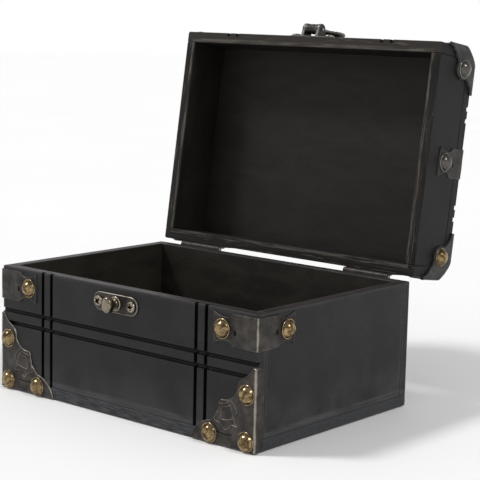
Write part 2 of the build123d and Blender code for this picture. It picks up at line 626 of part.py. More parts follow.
# ---------------------------------------------------------------- assembly
def build_base():
    """Every node of the base, and the turn button."""
    nodes = {}
    walls = four_walls(BOARD, BASE_HEIGHT)
    bottom = bottom_board()

    bend = Pos(-HALF_W, -HALF_D, STRAP_CENTRE_Z)
    strap_left = bend * strap(STRAP_LEG, STRAP_LEG)
    seats = [bend * seat for seat in strap_seats(STRAP_LEG, STRAP_LEG)]
    stud = dome_stud()
    strap_studs = [s for seat in seats for s in both_sides(seat * stud)]
    plate_studs = [s for place in plate_stud_places(PLATE_SHEET) for s in both_sides(place * stud)]

    nail_radius = STUD_SHANK_RADIUS + HOLE_CLEARANCE
    nail_depth = STUD_SHANK + HOLE_SPARE_DEPTH
    plate_seats = plate_stud_places(0)
    plate_nails = [h for one in holes(plate_seats, nail_radius, STUD_SHANK) for h in both_sides(one)]
    strap_nails = [h for one in holes(seats, nail_radius, nail_depth) for h in both_sides(one)]
    latch_holes = screw_holes(screw_plate_seats(LATCH_Z))
    pocket_depth = RIVET_GAP + RIVET_THICKNESS + RIVET_POCKET_SPARE
    pocket_radius = RIVET_RADIUS + RIVET_POCKET_SPARE
    pocket = holes([spot((LATCH_X, -HALF_D, LATCH_Z), FRONT)], pocket_radius, pocket_depth)
    hinge_seats = both_hinge_seats(BASE_HEIGHT - HINGE_SCREW_DROP)
    hinge_holes = hinge_screw_holes(hinge_seats)
    places = corner_brad_places(BASE_BRAD_HEIGHTS) + edge_brad_places(0, DOWN)
    pockets = [brad_pocket(place) for place in places]

    front_cutters = front_grooves(BOARD, BASE_HEIGHT) + level_grooves() + plate_nails + strap_nails
    nodes["base_front_panel"] = cut(walls["front"], front_cutters + latch_holes + pocket + pockets)
    nodes["base_back_panel"] = cut(walls["back"], hinge_holes + pockets)
    nodes["base_left_panel"] = cut(walls["left"], strap_nails + pockets)
    nodes["base_right_panel"] = cut(walls["right"], strap_nails + pockets)
    nodes["base_bottom_board"] = cut(bottom, plate_nails + pockets)
    nodes["base_panel_brads"] = group(brad(place) for place in places)
    nodes["base_corner_plate_left"], nodes["base_corner_plate_right"] = both_sides(corner_plate())
    nodes["base_corner_plate_studs"] = group(plate_studs)
    nodes["base_strap_left"], nodes["base_strap_right"] = both_sides(strap_left)
    nodes["base_strap_studs"] = group(strap_studs)
    nodes["latch_plate"] = screw_plate(LATCH_Z) - spindle_bore()
    nodes["latch_screws"] = group(seat * plate_screw() for seat in screw_plate_seats(LATCH_Z))
    nodes["turn_button"] = turn_button()
    for name, x in (("left", -HINGE_X), ("right", HINGE_X)):
        nodes[f"hinge_{name}_base_leaf"] = base_leaf(x)
        nodes[f"hinge_{name}_pin"] = hinge_pin(x)
    nodes["hinge_base_screws"] = group(seat * hinge_screw() for seat in hinge_seats)
    return nodes


def build_lid():
    """Every node of the lid and the hasp tongue, with the lid closed."""
    nodes = {}
    walls = four_walls(RIM, BOARD_TOP)
    top = board((-HALF_W, -HALF_D, BOARD_TOP), (HALF_W, HALF_D, TOP))

    stud = dome_stud()
    caps = all_corners(corner_cap())
    cap_studs = [s for seat in cap_side_seats() for s in all_corners(seat * stud)]
    nail_radius = STUD_SHANK_RADIUS + HOLE_CLEARANCE
    nail_depth = STUD_SHANK + HOLE_SPARE_DEPTH
    cap_nails = [h for one in holes(cap_side_seats(), nail_radius, nail_depth) for h in all_corners(one)]
    reliefs = all_corners(corner_relief())

    bend = Plane(origin=(-HALF_W, 0, TOP), x_dir=DOWN, z_dir=FRONT).location
    legs = (STRAP_LEG - LID_STRAP_SHIFT, STRAP_LEG + LID_STRAP_SHIFT)
    side_strap = bend * strap(*legs)
    strap_places = [bend * seat for seat in strap_seats(*legs)]
    strap_studs = [s for place in strap_places for s in both_sides(place * stud)]
    strap_nails = [h for one in holes(strap_places, nail_radius, nail_depth) for h in both_sides(one)]

    hasp_seats = screw_plate_seats(HASP_Z)
    hasp_holes = screw_holes(hasp_seats)
    hinge_seats = both_hinge_seats(RIM + HINGE_SCREW_DROP)
    hinge_holes = hinge_screw_holes(hinge_seats)
    places = corner_brad_places([RIM + z for z in LID_BRAD_HEIGHTS]) + edge_brad_places(TOP, UP)
    pockets = [brad_pocket(place) for place in places]

    wall_cutters = pockets + cap_nails + strap_nails + reliefs
    nodes["lid_front_wall"] = cut(walls["front"], front_grooves(RIM, BOARD_TOP) + hasp_holes + wall_cutters)
    nodes["lid_back_wall"] = cut(walls["back"], hinge_holes + wall_cutters)
    nodes["lid_left_wall"] = cut(walls["left"], wall_cutters)
    nodes["lid_right_wall"] = cut(walls["right"], wall_cutters)
    nodes["lid_top_board"] = cut(top, top_grooves() + wall_cutters)
    nodes["lid_panel_brads"] = group(brad(place) for place in places)
    names = ("front_left", "back_left", "front_right", "back_right")
    for name, cap in zip(names, caps):
        nodes[f"lid_corner_cap_{name}"] = cap
    nodes["lid_corner_cap_studs"] = group(cap_studs)
    nodes["lid_side_strap_left"], nodes["lid_side_strap_right"] = both_sides(side_strap)
    nodes["lid_side_strap_studs"] = group(strap_studs)
    nodes["hasp_plate"] = hasp_plate()
    nodes["hasp_screws"] = group(seat * plate_screw() for seat in hasp_seats)
    nodes["hasp_pin"] = hasp_pin()
    nodes["hasp_tongue"] = hasp_tongue()
    for name, x in (("left", -HINGE_X), ("right", HINGE_X)):
        nodes[f"hinge_{name}_lid_leaf"] = lid_leaf(x)
    nodes["hinge_lid_screws"] = group(seat * hinge_screw() for seat in hinge_seats)
    return nodes


def main():
    os.makedirs("parts", exist_ok=True)
    for name, shape in build_base().items():
        export_step(shape, f"parts/{name}.step")
    for name, shape in build_lid().items():
        export_step(shape.rotate(LID_AXIS, -OPEN_ANGLE), f"parts/{name}.step")


main()
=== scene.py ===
import json
import math

import bmesh
import bpy
import numpy as np
from mathutils import Matrix, Vector
from mathutils.geometry import delaunay_2d_cdt

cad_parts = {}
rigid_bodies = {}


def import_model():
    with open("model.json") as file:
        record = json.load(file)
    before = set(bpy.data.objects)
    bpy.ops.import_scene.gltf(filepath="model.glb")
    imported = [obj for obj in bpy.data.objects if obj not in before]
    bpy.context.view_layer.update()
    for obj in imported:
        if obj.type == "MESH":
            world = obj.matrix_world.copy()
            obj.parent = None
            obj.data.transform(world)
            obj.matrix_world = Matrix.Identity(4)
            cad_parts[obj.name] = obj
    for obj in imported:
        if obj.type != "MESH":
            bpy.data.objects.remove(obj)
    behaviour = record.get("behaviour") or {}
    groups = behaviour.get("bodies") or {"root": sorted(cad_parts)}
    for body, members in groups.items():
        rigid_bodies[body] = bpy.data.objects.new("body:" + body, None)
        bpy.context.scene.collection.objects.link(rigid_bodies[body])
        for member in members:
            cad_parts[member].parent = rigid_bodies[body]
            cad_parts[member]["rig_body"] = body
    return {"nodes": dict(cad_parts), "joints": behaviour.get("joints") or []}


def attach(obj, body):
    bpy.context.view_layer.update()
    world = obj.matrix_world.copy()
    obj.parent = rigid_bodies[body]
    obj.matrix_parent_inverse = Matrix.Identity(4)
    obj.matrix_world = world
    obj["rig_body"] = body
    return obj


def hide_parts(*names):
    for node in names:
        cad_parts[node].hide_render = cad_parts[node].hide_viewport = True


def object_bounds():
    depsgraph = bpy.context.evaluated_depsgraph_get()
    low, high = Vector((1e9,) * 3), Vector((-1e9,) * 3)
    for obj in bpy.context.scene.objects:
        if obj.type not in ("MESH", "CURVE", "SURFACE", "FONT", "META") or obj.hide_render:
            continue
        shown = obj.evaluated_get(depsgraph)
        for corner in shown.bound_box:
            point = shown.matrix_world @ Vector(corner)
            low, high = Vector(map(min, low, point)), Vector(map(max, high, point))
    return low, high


# Looks for a small black chest: rubbed black boards, stamped bronze corners and straps, gold dome studs,
# a latch plate with a turn button, and a hasp. Shapes are worked out in millimetres. Pieces on the lid are
# drawn on the closed lid and then turned open with it.

MM = 0.001
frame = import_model()
cad_low, cad_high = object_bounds()
JOINTS = {j["name"]: j for j in frame["joints"]}

# ---- places taken from the frame
PIVOT = np.array(JOINTS["lid_hinge"]["pos_m"]) / MM
OPEN = math.radians(JOINTS["lid_hinge"]["range_deg"][1])


def node_points(node):
    """Vertices of a CAD node at rest, in millimetres."""
    return np.array([v.co for v in frame["nodes"][node].data.vertices]) / MM


def turned(points, angle):
    """Points turned about the lid's hinge line."""
    y, z = points[:, 1] - PIVOT[1], points[:, 2] - PIVOT[2]
    c, s = math.cos(angle), math.sin(angle)
    return np.column_stack((points[:, 0], PIVOT[1] + y * c - z * s, PIVOT[2] + y * s + z * c))


def open_lid(points):
    """Points of the closed lid, turned to where the open lid stands."""
    return turned(points, -OPEN)


def close_lid(points):
    """Points of the open lid, turned to where they are on the closed lid."""
    return turned(points, OPEN)


def corners(points):
    """Lowest and highest corner of a set of points."""
    return points.min(0), points.max(0)


front_low, front_high = corners(node_points("base_front_panel"))
lid_top_low, lid_top_high = corners(close_lid(node_points("lid_top_board")))
HALF_W = float(front_high[0])
HALF_D = float(-front_low[1])
BOARD = float(front_high[1] - front_low[1])
BASE_TOP = float(front_high[2])
LID_RIM = float(close_lid(node_points("lid_front_wall")).min(0)[2])
LID_BOARD = float(lid_top_low[2])
LID_TOP = float(lid_top_high[2])

RIGHT, BACK, UP = np.eye(3)
FRONT, DOWN = -BACK, -UP


# ---- flat outlines
def arc(start, via, end, count=14):
    """Points after start, round the circle through all three, up to end."""
    (ax, ay), (bx, by), (cx, cy) = start, via, end
    a2, b2, c2 = ax * ax + ay * ay, bx * bx + by * by, cx * cx + cy * cy
    d = 2 * (ax * (by - cy) + bx * (cy - ay) + cx * (ay - by))
    x = (a2 * (by - cy) + b2 * (cy - ay) + c2 * (ay - by)) / d
    y = (a2 * (cx - bx) + b2 * (ax - cx) + c2 * (bx - ax)) / d
    first = math.atan2(ay - y, ax - x)
    sweep = (math.atan2(cy - y, cx - x) - first) % math.tau
    if (math.atan2(by - y, bx - x) - first) % math.tau > sweep:
        sweep -= math.tau
    radius = math.hypot(ax - x, ay - y)
    angles = [first + sweep * k / count for k in range(1, count + 1)]
    return [(x + radius * math.cos(t), y + radius * math.sin(t)) for t in angles]


def trace(start, *steps):
    """Outline from a start through points, and through (via, end) pairs as arcs."""
    points = [start]
    for move in steps:
        if isinstance(move[0], tuple):
            points += arc(points[-1], *move)
        else:
            points.append(move)
    return points


def divided(points, spacing, closed=True):
    """The same path with its long runs divided evenly."""
    path = [np.array(p, float) for p in points]
    ends = path[1:] + path[:1] if closed else path[1:]
    out = []
    for a, b in zip(path, ends):
        steps = max(1, round(float(np.linalg.norm(b - a)) / spacing))
        out += [a + (b - a) * k / steps for k in range(steps)]
    if not closed:
        out.append(path[-1])
    return np.array(out)


def spline(a, b, c, d, t):
    """Catmull-Rom value between b and c."""
    curve = 2 * b + (c - a) * t + (2 * a - 5 * b + 4 * c - d) * t**2 + (3 * b - a - 3 * c + d) * t**3
    return curve / 2


def smooth_path(points, spacing, closed=True, steps=None):
    """Smooth curve through a few points, in even steps or in steps of about the spacing."""
    p = np.array(points, float)
    p = np.vstack((p[-1], p, p[:2])) if closed else np.vstack((2 * p[0] - p[1], p, 2 * p[-1] - p[-2]))
    out = []
    for a, b, c, d in zip(p, p[1:], p[2:], p[3:]):
        n = steps or max(2, int(np.linalg.norm(c - b) / spacing))
        out += [spline(a, b, c, d, t) for t in np.arange(n) / n]
    return np.array(out if closed else out + [p[-2]])


def circle(radius, count, centre=(0, 0)):
    t = np.arange(count) * math.tau / count
    return np.column_stack((centre[0] + radius * np.cos(t), centre[1] + radius * np.sin(t)))


def stadium(length, height, count=26):
    """Round-ended bar about the origin."""
    r = height / 2
    t = np.linspace(-math.pi / 2, math.pi / 2, count)
    end = np.column_stack((length / 2 - r + r * np.cos(t), r * np.sin(t)))
    return divided(np.vstack((end, -end)), 0.5)


def distance_to(points, path, closed=True):
    """Distance from each point to a path."""
    a = path if closed else path[:-1]
    b = np.roll(path, -1, 0) if closed else path[1:]
    ab = b - a
    square = (ab * ab).sum(1)
    out = np.empty(len(points))
    for k in range(0, len(points), 2000):
        ap = points[k:k + 2000, None] - a
        t = np.clip((ap * ab).sum(2) / square, 0, 1)
        out[k:k + 2000] = np.sqrt(((ap - t[..., None] * ab) ** 2).sum(2).min(1))
    return out


def inside(points, loop):
    """Which points lie inside a closed loop."""
    x, y = points.T
    odd = np.zeros(len(points), bool)
    for (x0, y0), (x1, y1) in zip(loop, np.roll(loop, -1, 0)):
        if y0 != y1:
            odd ^= ((y0 > y) != (y1 > y)) & (x < (x1 - x0) * (y - y0) / (y1 - y0) + x0)
    return odd


def step(value, low, high):
    """Smooth step from 0 at low to 1 at high."""
    t = np.clip((value - low) / (high - low), 0, 1)
    return t * t * (3 - 2 * t)


def ripple(points, seed, size, rise):
    """Gentle seeded unevenness over flat points, for hand-worked metal."""
    rng = np.random.default_rng(seed)
    total = np.zeros(len(points))
    for _ in range(6):
        way = rng.normal(size=2)
        way *= math.tau / size / np.linalg.norm(way) * rng.uniform(0.6, 1.7)
        total += np.sin(points[:, :2] @ way + rng.uniform(0, math.tau))
    return total * rise / 3


# ---- meshes
class Shape:
    """Closed mesh in millimetres, with a wear-and-shade value for each vertex: above zero rubbed metal,
    below zero darker (patina in the bronze's hollows, painted shade on the plated studs and screws).
    """

    def __init__(self, points, faces, wear):
        self.points, self.faces, self.wear = points, faces, wear

    def placed(self, origin, x_dir=RIGHT, y_dir=BACK, z_dir=UP):
        moved = np.array(origin, float) + self.points @ np.array([x_dir, y_dir, z_dir])
        return Shape(moved, self.faces, self.wear)

    def mirrored(self, axis):
        flip = np.ones(3)
        flip[axis] = -1
        return Shape(self.points * flip, self.faces, self.wear)

    def both_sides(self):
        return [self, self.mirrored(0)]

    def four_corners(self):
        return [self, self.mirrored(1), self.mirrored(0), self.mirrored(1).mirrored(0)]


def joined(shapes):
    """Several shapes as one."""
    points, faces, wear, start = [], [], [], 0
    for shape in shapes:
        points.append(shape.points)
        wear.append(shape.wear)
        faces += [[start + i for i in face] for face in shape.faces]
        start += len(shape.points)
    return Shape(np.vstack(points), faces, np.concatenate(wear))


def new_object(name, data):
    obj = bpy.data.objects.new(name, data)
    bpy.context.scene.collection.objects.link(obj)
    return obj


def add_piece(name, shape, body, slot, node, material=None, sharp=38):
    """Makes the Blender object of a shape, riding on a body and standing for a CAD node."""
    on_lid = body in LID_BODIES
    points = open_lid(shape.points) if on_lid else shape.points
    bm = bmesh.new()
    wear = bm.verts.layers.float.new("wear")
    for point, value in zip(points * MM, shape.wear):
        bm.verts.new(point)[wear] = value
    bm.verts.ensure_lookup_table()
    for face in shape.faces:
        bm.faces.new([bm.verts[i] for i in face])
    bmesh.ops.remove_doubles(bm, verts=bm.verts, dist=0.002 * MM)
    bmesh.ops.recalc_face_normals(bm, faces=bm.faces)
    mesh = bpy.data.meshes.new(name)
    bm.to_mesh(mesh)
    bm.free()
    mesh.shade_smooth()
    mesh.set_sharp_from_angle(angle=math.radians(sharp))
    mesh.materials.append(material or METALS[slot][on_lid])
    obj = new_object(name, mesh)
    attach(obj, body)
    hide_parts(node)


def add_pair(name, shape, body, slot, node):
    """Adds a left piece and its mirrored twin on the right."""
    for side, one in zip(("left", "right"), shape.both_sides()):
        add_piece(f"{name}_{side}", one, body, slot, f"{node}_{side}")


def scatter(loops, lines, spacing, fine):
    """Points that fill the loops, denser along their edges and along (path, half width) lines."""
    taken, chosen = {}, []

    def offer(points, gap):
        for x, y in points:
            i, j = int(x // spacing), int(y // spacing)
            near = (q for a in (-1, 0, 1) for b in (-1, 0, 1) for q in taken.get((i + a, j + b), ()))
            if all((x - qx) ** 2 + (y - qy) ** 2 > gap * gap for qx, qy in near):
                taken.setdefault((i, j), []).append((x, y))
                chosen.append((x, y))

    def shifted(path, away, closed):
        ahead = np.roll(path, -1, 0) - np.roll(path, 1, 0)
        if not closed:
            ahead[0], ahead[-1] = path[1] - path[0], path[-1] - path[-2]
        ahead /= np.linalg.norm(ahead, axis=1)[:, None]
        return path + away * np.column_stack((-ahead[:, 1], ahead[:, 0]))

    def within(points, margin):
        ok = inside(points, loops[0])
        for loop in loops:
            ok &= distance_to(points, loop) > margin
        for hole in loops[1:]:
            ok &= ~inside(points, hole)
        return points[ok]

    for loop in loops:
        offer(loop, 0)
    for depth in (0.12, 0.28, 0.5, 0.8):
        for loop in loops:
            for side in (-1, 1):
                offer(within(shifted(loop, side * depth, True), depth * 0.9), fine * 0.5)
    for path, half in lines:
        closed = np.linalg.norm(path[0] - path[-1]) < fine * 2
        for share in (0, -1, 1, -0.5, 0.5):
            offer(within(shifted(path, share * half, closed), 0.25), fine * 0.45)
    low, high = loops[0].min(0), loops[0].max(0)
    rows = np.arange(low[1], high[1], spacing * 0.866)
    across = np.arange(low[0], high[0], spacing)
    grid = [(x + spacing / 2 * (k % 2), y) for k, y in enumerate(rows) for x in across]
    offer(within(np.array(grid), fine), spacing * 0.62)
    return chosen


def triangulated(loops, lines=(), spacing=0.7, fine=0.3):
    """Points and triangles that fill the first loop and leave out the others."""
    chosen = scatter(loops, lines, spacing, fine)
    edges, start = [], 0
    for loop in loops:
        n = len(loop)
        edges += [(start + k, start + (k + 1) % n) for k in range(n)]
        start += n
    found, _, faces, *_ = delaunay_2d_cdt([Vector(p) for p in chosen], edges, [], 0, 1e-5)
    points, faces = np.array(found), np.array(faces)
    centres = points[faces].mean(1)
    ok = inside(centres, loops[0])
    for hole in loops[1:]:
        ok &= ~inside(centres, hole)
    return points, faces[ok]


def open_edges(faces):
    """Edges that only one triangle uses."""
    seen = {}
    for a, b, c in faces.tolist():
        for e in ((a, b), (b, c), (c, a)):
            seen[frozenset(e)] = None if frozenset(e) in seen else e
    return [e for e in seen.values() if e]


def relief(loops, top, bottom=None, lines=(), wear=None, spacing=0.7, fine=0.3):
    """Closed sheet over an outline with holes. top, bottom and wear take (points, distance to edge)."""
    points, faces = triangulated(loops, lines, spacing, fine)
    edge = np.min([distance_to(points, loop) for loop in loops], 0)
    count = len(points)
    upper = np.column_stack((points, top(points, edge)))
    lower = np.column_stack((points, bottom(points, edge) if bottom else np.zeros(count)))
    rubbed = wear(points, edge) if wear else np.exp(-edge / 0.4)
    skirt = [(b, a, a + count, b + count) for a, b in open_edges(faces)]
    all_faces = faces.tolist() + (faces[:, ::-1] + count).tolist() + skirt
    return Shape(np.vstack((upper, lower)), all_faces, np.concatenate((rubbed, rubbed * 0.5)))


def rounded_edge(edge, radius):
    """How far a sheet's surface drops close to its edge."""
    d = np.minimum(edge, radius)
    return radius - np.sqrt(radius**2 - (radius - d) ** 2)


def ridge(distance, half_width):
    """Rounded ridge, 1 on its line and 0 beyond its half width."""
    return np.cos(np.clip(distance / half_width, 0, 1) * math.pi) / 2 + 0.5


def folded(shape, radius):
    """Wraps a flat relief round a square corner: u > 0 lies on the first face and u < 0 on the second."""
    u, v, h = shape.points.T
    half_arc = math.pi * radius / 4
    angle = (1 - np.clip(u / half_arc, -1, 1)) * math.pi / 4
    along = np.maximum(np.abs(u) - half_arc, 0)
    x = radius - (radius + h) * np.sin(angle) + np.where(u > 0, along, 0)
    y = radius - (radius + h) * np.cos(angle) + np.where(u < 0, along, 0)
    return Shape(np.column_stack((x, y, v)), shape.faces, shape.wear)


def loft(rings, count=44, seed=None, dent=0.0):
    """Skin over (height, half width, half height, wear and shade) rings; a ring of no width is a single
    point.
    """
    rng = np.random.default_rng(seed)
    phase = rng.uniform(0, math.tau, 4)
    t = np.arange(count) * math.tau / count
    points, faces, wear, previous = [], [], [], None
    for z, rx, ry, worn in rings:
        start = len(points)
        if rx == 0:
            points.append((0, 0, z))
            ring = [start] * count
            wear.append(worn)
        else:
            push = dent * (np.sin(2 * t + phase[0] + z) + 0.6 * np.sin(3 * t + phase[1] - 1.7 * z)
                           + 0.5 * np.sin(5 * t + phase[2] + 2 * z))
            x, y = (rx + push) * np.cos(t), (ry + push) * np.sin(t)
            points += list(zip(x, y, z + push * 0.6))
            ring = list(range(start, start + count))
            wear += [worn] * count
        if previous:
            for k in range(count):
                n = (k + 1) % count
                corner = [previous[k], previous[n], ring[n], ring[k]]
                faces.append(list(dict.fromkeys(corner)))
        previous = ring
    return Shape(np.array(points, float), faces, np.array(wear, float))


def smooth_rings(rings, steps=6):
    """Smooth rings between a few given ones; the first and last are points on the axis."""
    between = smooth_path(rings, 0, closed=False, steps=steps)[1:-1]
    return [rings[0]] + [tuple(np.maximum(ring, (-99, 0.01, 0.01, 0))) for ring in between] + [rings[-1]]


# ---- materials
class Shader:
    """Builds one material's node tree."""

    def __init__(self, name, turned=False):
        self.material = bpy.data.materials.new(name)
        self.material.use_nodes = True
        self.tree = self.material.node_tree
        self.surface = self.tree.nodes["Principled BSDF"]
        self.place = self.millimetres(turned)
        self.x, self.y, self.z = self.node("SeparateXYZ", Vector=self.place).outputs

    def feed(self, socket, value):
        if isinstance(value, bpy.types.NodeSocket):
            self.tree.links.new(value, socket)
        else:
            socket.default_value = value

    def node(self, kind, **inputs):
        """New node with its named inputs set or linked."""
        node = self.tree.nodes.new("ShaderNode" + kind)
        for key, value in inputs.items():
            self.feed(node.inputs[key], value)
        return node

    def millimetres(self, turned):
        """Object coordinates in millimetres; on a lid part, those of the closed lid."""
        mapping = self.node("Mapping", Vector=self.node("TexCoord").outputs["Object"], Scale=(1 / MM,) * 3)
        if turned:
            mapping.inputs["Rotation"].default_value = (OPEN, 0, 0)
            mapping.inputs["Location"].default_value = close_lid(np.zeros((1, 3)))[0]
        return mapping.outputs["Vector"]

    def math(self, operation, a, b=0.0, c=0.0):
        node = self.node("Math")
        node.operation = operation
        for socket, value in zip(node.inputs, (a, b, c)):
            self.feed(socket, value)
        return node.outputs[0]

    def add(self, a, b):
        return self.math("ADD", a, b)

    def sub(self, a, b):
        return self.math("SUBTRACT", a, b)

    def gap(self, a, b):
        """How far apart two values are."""
        return self.math("ABSOLUTE", self.sub(a, b))

    def varied(self, value, pattern, amount):
        """A value made uneven by a pattern that centres on a half."""
        return self.add(value, self.times(self.sub(pattern, 0.5), amount))

    def fold(self, operation, values):
        total = values[0]
        for value in values[1:]:
            total = self.math(operation, total, value)
        return total

    def times(self, *values):
        return self.fold("MULTIPLY", values)

    def most(self, *values):
        return self.fold("MAXIMUM", values)

    def least(self, *values):
        return self.fold("MINIMUM", values)

    def band(self, value, low, high, to_low=0.0, to_high=1.0):
        """Smooth remap of a value between two limits."""
        node = self.node("MapRange")
        node.interpolation_type = "SMOOTHSTEP"
        for socket, v in zip(node.inputs, (value, low, high, to_low, to_high)):
            self.feed(socket, v)
        return node.outputs[0]

    def above(self, value, limit):
        return self.math("GREATER_THAN", value, limit)

    def below(self, value, limit):
        return self.math("LESS_THAN", value, limit)

    def stretched(self, scale):
        node = self.node("VectorMath")
        node.operation = "MULTIPLY"
        self.feed(node.inputs[0], self.place)
        self.feed(node.inputs[1], scale)
        return node.outputs[0]

    def noise(self, scale, detail=3.0, rough=0.55, where=None, twist=0.0):
        node = self.node("TexNoise", Vector=where or self.place, Scale=scale, Detail=detail,
                         Roughness=rough, Distortion=twist)
        return node.outputs[0]

    def cells(self, scale):
        return self.node("TexVoronoi", Vector=self.place, Scale=scale).outputs["Distance"]

    def mix(self, factor, a, b):
        """Colour between a and b."""
        node = self.node("Mix")
        node.data_type = "RGBA"
        self.feed(node.inputs[0], factor)
        for socket, value in zip(node.inputs[6:8], (a, b)):
            self.feed(socket, (*value, 1.0) if isinstance(value, tuple) else value)
        return node.outputs[2]

    def wear(self):
        node = self.node("Attribute")
        node.attribute_name = "wear"
        return node.outputs["Fac"]

    def finish(self, colour, roughness, height=None, rise=0.1, metallic=0.0, strength=1.0, gloss=0.5):
        """Wires the results to the surface. rise is the bump's depth in millimetres."""
        values = {"Specular IOR Level": gloss, "Base Color": colour, "Roughness": roughness,
                  "Metallic": metallic}
        if height is not None:
            bump = self.node("Bump", Strength=strength, Distance=rise * MM, Height=height)
            values["Normal"] = bump.outputs["Normal"]
        for key, value in values.items():
            self.feed(self.surface.inputs[key], value)
        return self.material


def board_shader(name, low, high, grain, on_lid):
    """Shader of a board between two corners, with its grain along X for grain 0 and along Y for 1."""
    s = Shader(name, turned=on_lid)
    s.grain, s.on_lid = grain, on_lid
    s.fibre = s.noise(2.2, 4.0, 0.62, lengthwise(s, 0.06, 1.0), twist=0.4)
    s.streak = s.noise(0.5, 3.0, 0.6, lengthwise(s, 0.06, 1.6))
    s.blotch = s.noise(0.045, 3.0, 0.55)
    s.speck = s.noise(1.4, 4.0, 0.6)
    dx, dy, dz = [
        s.least(s.sub(value, a), s.sub(b, value))
        for value, a, b in zip((s.x, s.y, s.z), low, high)
    ]
    s.edge = s.most(s.least(dx, dy), s.least(s.most(dx, dy), dz))
    s.ax, s.ay = s.math("ABSOLUTE", s.x), s.math("ABSOLUTE", s.y)
    return s


def lengthwise(s, along, across):
    """Coordinates scaled along and across a board's grain."""
    return s.stretched([along if axis == s.grain else across for axis in range(3)])


def hollow_and_rim(s):
    """1 on the surfaces inside the chest or the lid, and 1 on the rim where the two meet."""
    within = s.times(s.below(s.ax, HALF_W - BOARD + 0.1), s.below(s.ay, HALF_D - BOARD + 0.1))
    if s.on_lid:
        return s.times(within, s.below(s.z, LID_BOARD + 0.1)), s.below(s.z, LID_RIM + 0.25)
    return s.times(within, s.above(s.z, BOARD - 0.1)), s.above(s.z, BASE_TOP - 0.25)


def outer_stain(s):
    """Streaked black stain, seamed on the lid and darkened there overall as painted shade; on the base it is
    greyer towards the floor, painted light from the floor that is stronger on the side boards.
    """
    paint = s.mix(s.band(s.blotch, 0.35, 0.68), (0.0038, 0.0038, 0.0039), (0.0078, 0.0078, 0.0078))
    paint = s.mix(s.times(s.band(s.fibre, 0.45, 0.75), 0.5), paint, (0.0150, 0.0148, 0.0146))
    paint = s.mix(s.times(s.band(s.streak, 0.58, 0.8), 0.45), paint, (0.0210, 0.0208, 0.0212))
    hair = s.noise(4.0, 2.0, 0.5, lengthwise(s, 0.025, 1.0))
    hairlines = s.times(s.band(hair, 0.56, 0.72), s.band(s.blotch, 0.38, 0.6), 0.5)
    paint = s.mix(hairlines, paint, (0.0300, 0.0298, 0.0302))
    if s.on_lid:
        # The lid's paint is darkened overall: painted shade.
        paint = s.mix(0.55, paint, (0.0024, 0.0024, 0.0023))
        seam = s.band(s.gap(s.z, LID_BOARD), 0.9, 0.3)
        return s.mix(s.times(seam, 0.9), paint, (0.0008, 0.0008, 0.0008))
    softened = s.band(s.varied(s.edge, s.streak, 5.0), 2.2, 0.0)
    paint = s.mix(s.times(softened, 0.7), paint, (0.030, 0.030, 0.0305))
    # Lighter towards the floor, more on the side boards: painted light from the floor.
    floor_bounce = s.band(s.z, 32.0, 4.0)
    floor_bounce_tone = (0.046, 0.046, 0.0462) if s.grain else (0.030, 0.030, 0.0302)
    paint = s.mix(s.times(floor_bounce, s.band(s.blotch, 0.2, 0.7), 0.7), paint, floor_bounce_tone)
    above_seam = s.band(s.gap(s.z, BOARD + 2.2), 2.4, 0.4)
    paint = s.mix(s.times(above_seam, s.band(s.streak, 0.3, 0.65), 0.7), paint, (0.062, 0.062, 0.062))
    low_strip = s.mix(s.band(s.fibre, 0.42, 0.62), (0.008, 0.008, 0.009), (0.070, 0.073, 0.080))
    return s.mix(s.times(s.below(s.z, BOARD + 0.1), 0.75), paint, low_strip)


def inner_stain(s):
    """Thin, cloudy brown stain inside the chest, painted darker inside the lid as shade."""
    dim, lit = (0.0110, 0.0094, 0.0068), (0.0250, 0.0213, 0.0160)
    if s.on_lid:
        # Inside the lid the stain is darker: painted shade.
        dim, lit = (0.0062, 0.0050, 0.0034), (0.0122, 0.0101, 0.0070)
    cloudy = s.noise(0.06, 6.0, 0.68, lengthwise(s, 0.35, 1.0), twist=1.2)
    inner = s.mix(s.band(cloudy, 0.36, 0.66), dim, lit)
    return s.mix(s.times(s.band(s.fibre, 0.5, 0.8), 0.35), inner, (0.020, 0.0172, 0.0138))


def scraped_rim(s):
    """Rim with its stain scraped to bare wood, most along its inner edge."""
    if s.on_lid:
        lip = s.mix(s.band(s.streak, 0.35, 0.7), (0.0045, 0.0038, 0.0033), (0.0170, 0.0140, 0.0120))
        lip = s.mix(s.times(s.below(s.y, BOARD - HALF_D), 0.6), lip, (0.036, 0.031, 0.027))
        pale = (0.115, 0.101, 0.086)
    else:
        lip = s.mix(s.band(s.streak, 0.35, 0.7), (0.016, 0.0132, 0.0132), (0.042, 0.034, 0.035))
        pale = (0.085, 0.074, 0.070)
    scraped = s.noise(0.9, 5.0, 0.7, lengthwise(s, 0.06, 1.0))
    lip = s.mix(s.times(s.band(scraped, 0.58, 0.67), 0.75), lip, pale)
    from_inside = s.most(s.sub(s.ax, HALF_W - BOARD), s.sub(s.ay, HALF_D - BOARD))
    line = s.times(s.band(from_inside, 2.6, 1.6), s.band(from_inside, 0.2, 0.9))
    line = s.times(line, s.band(scraped, 0.40, 0.58))
    return s.mix(s.times(line, 0.7 if s.on_lid else 0.2), lip, pale)


def shade_in_grooves(s, grooves):
    """Painted shade in the grooves: 1 where it is painted, from a list of (axis, centre, outer level axis,
    outer level); on level grooves it sits on their upper part.
    """
    place = (s.x, s.y, s.z)
    total = 0.0
    for axis, centre, level_axis, level in grooves:
        lift, wide, shallow, full = (0.45, 0.85, 0.3, 1.1) if axis == 2 else (0.0, 1.25, 0.15, 0.7)
        across = s.band(s.gap(place[axis], centre + lift), wide, wide - 0.25)
        depth = s.gap(place[level_axis], level)
        total = s.most(total, s.times(across, s.band(depth, shallow, full), s.below(depth, 1.9)))
    return total


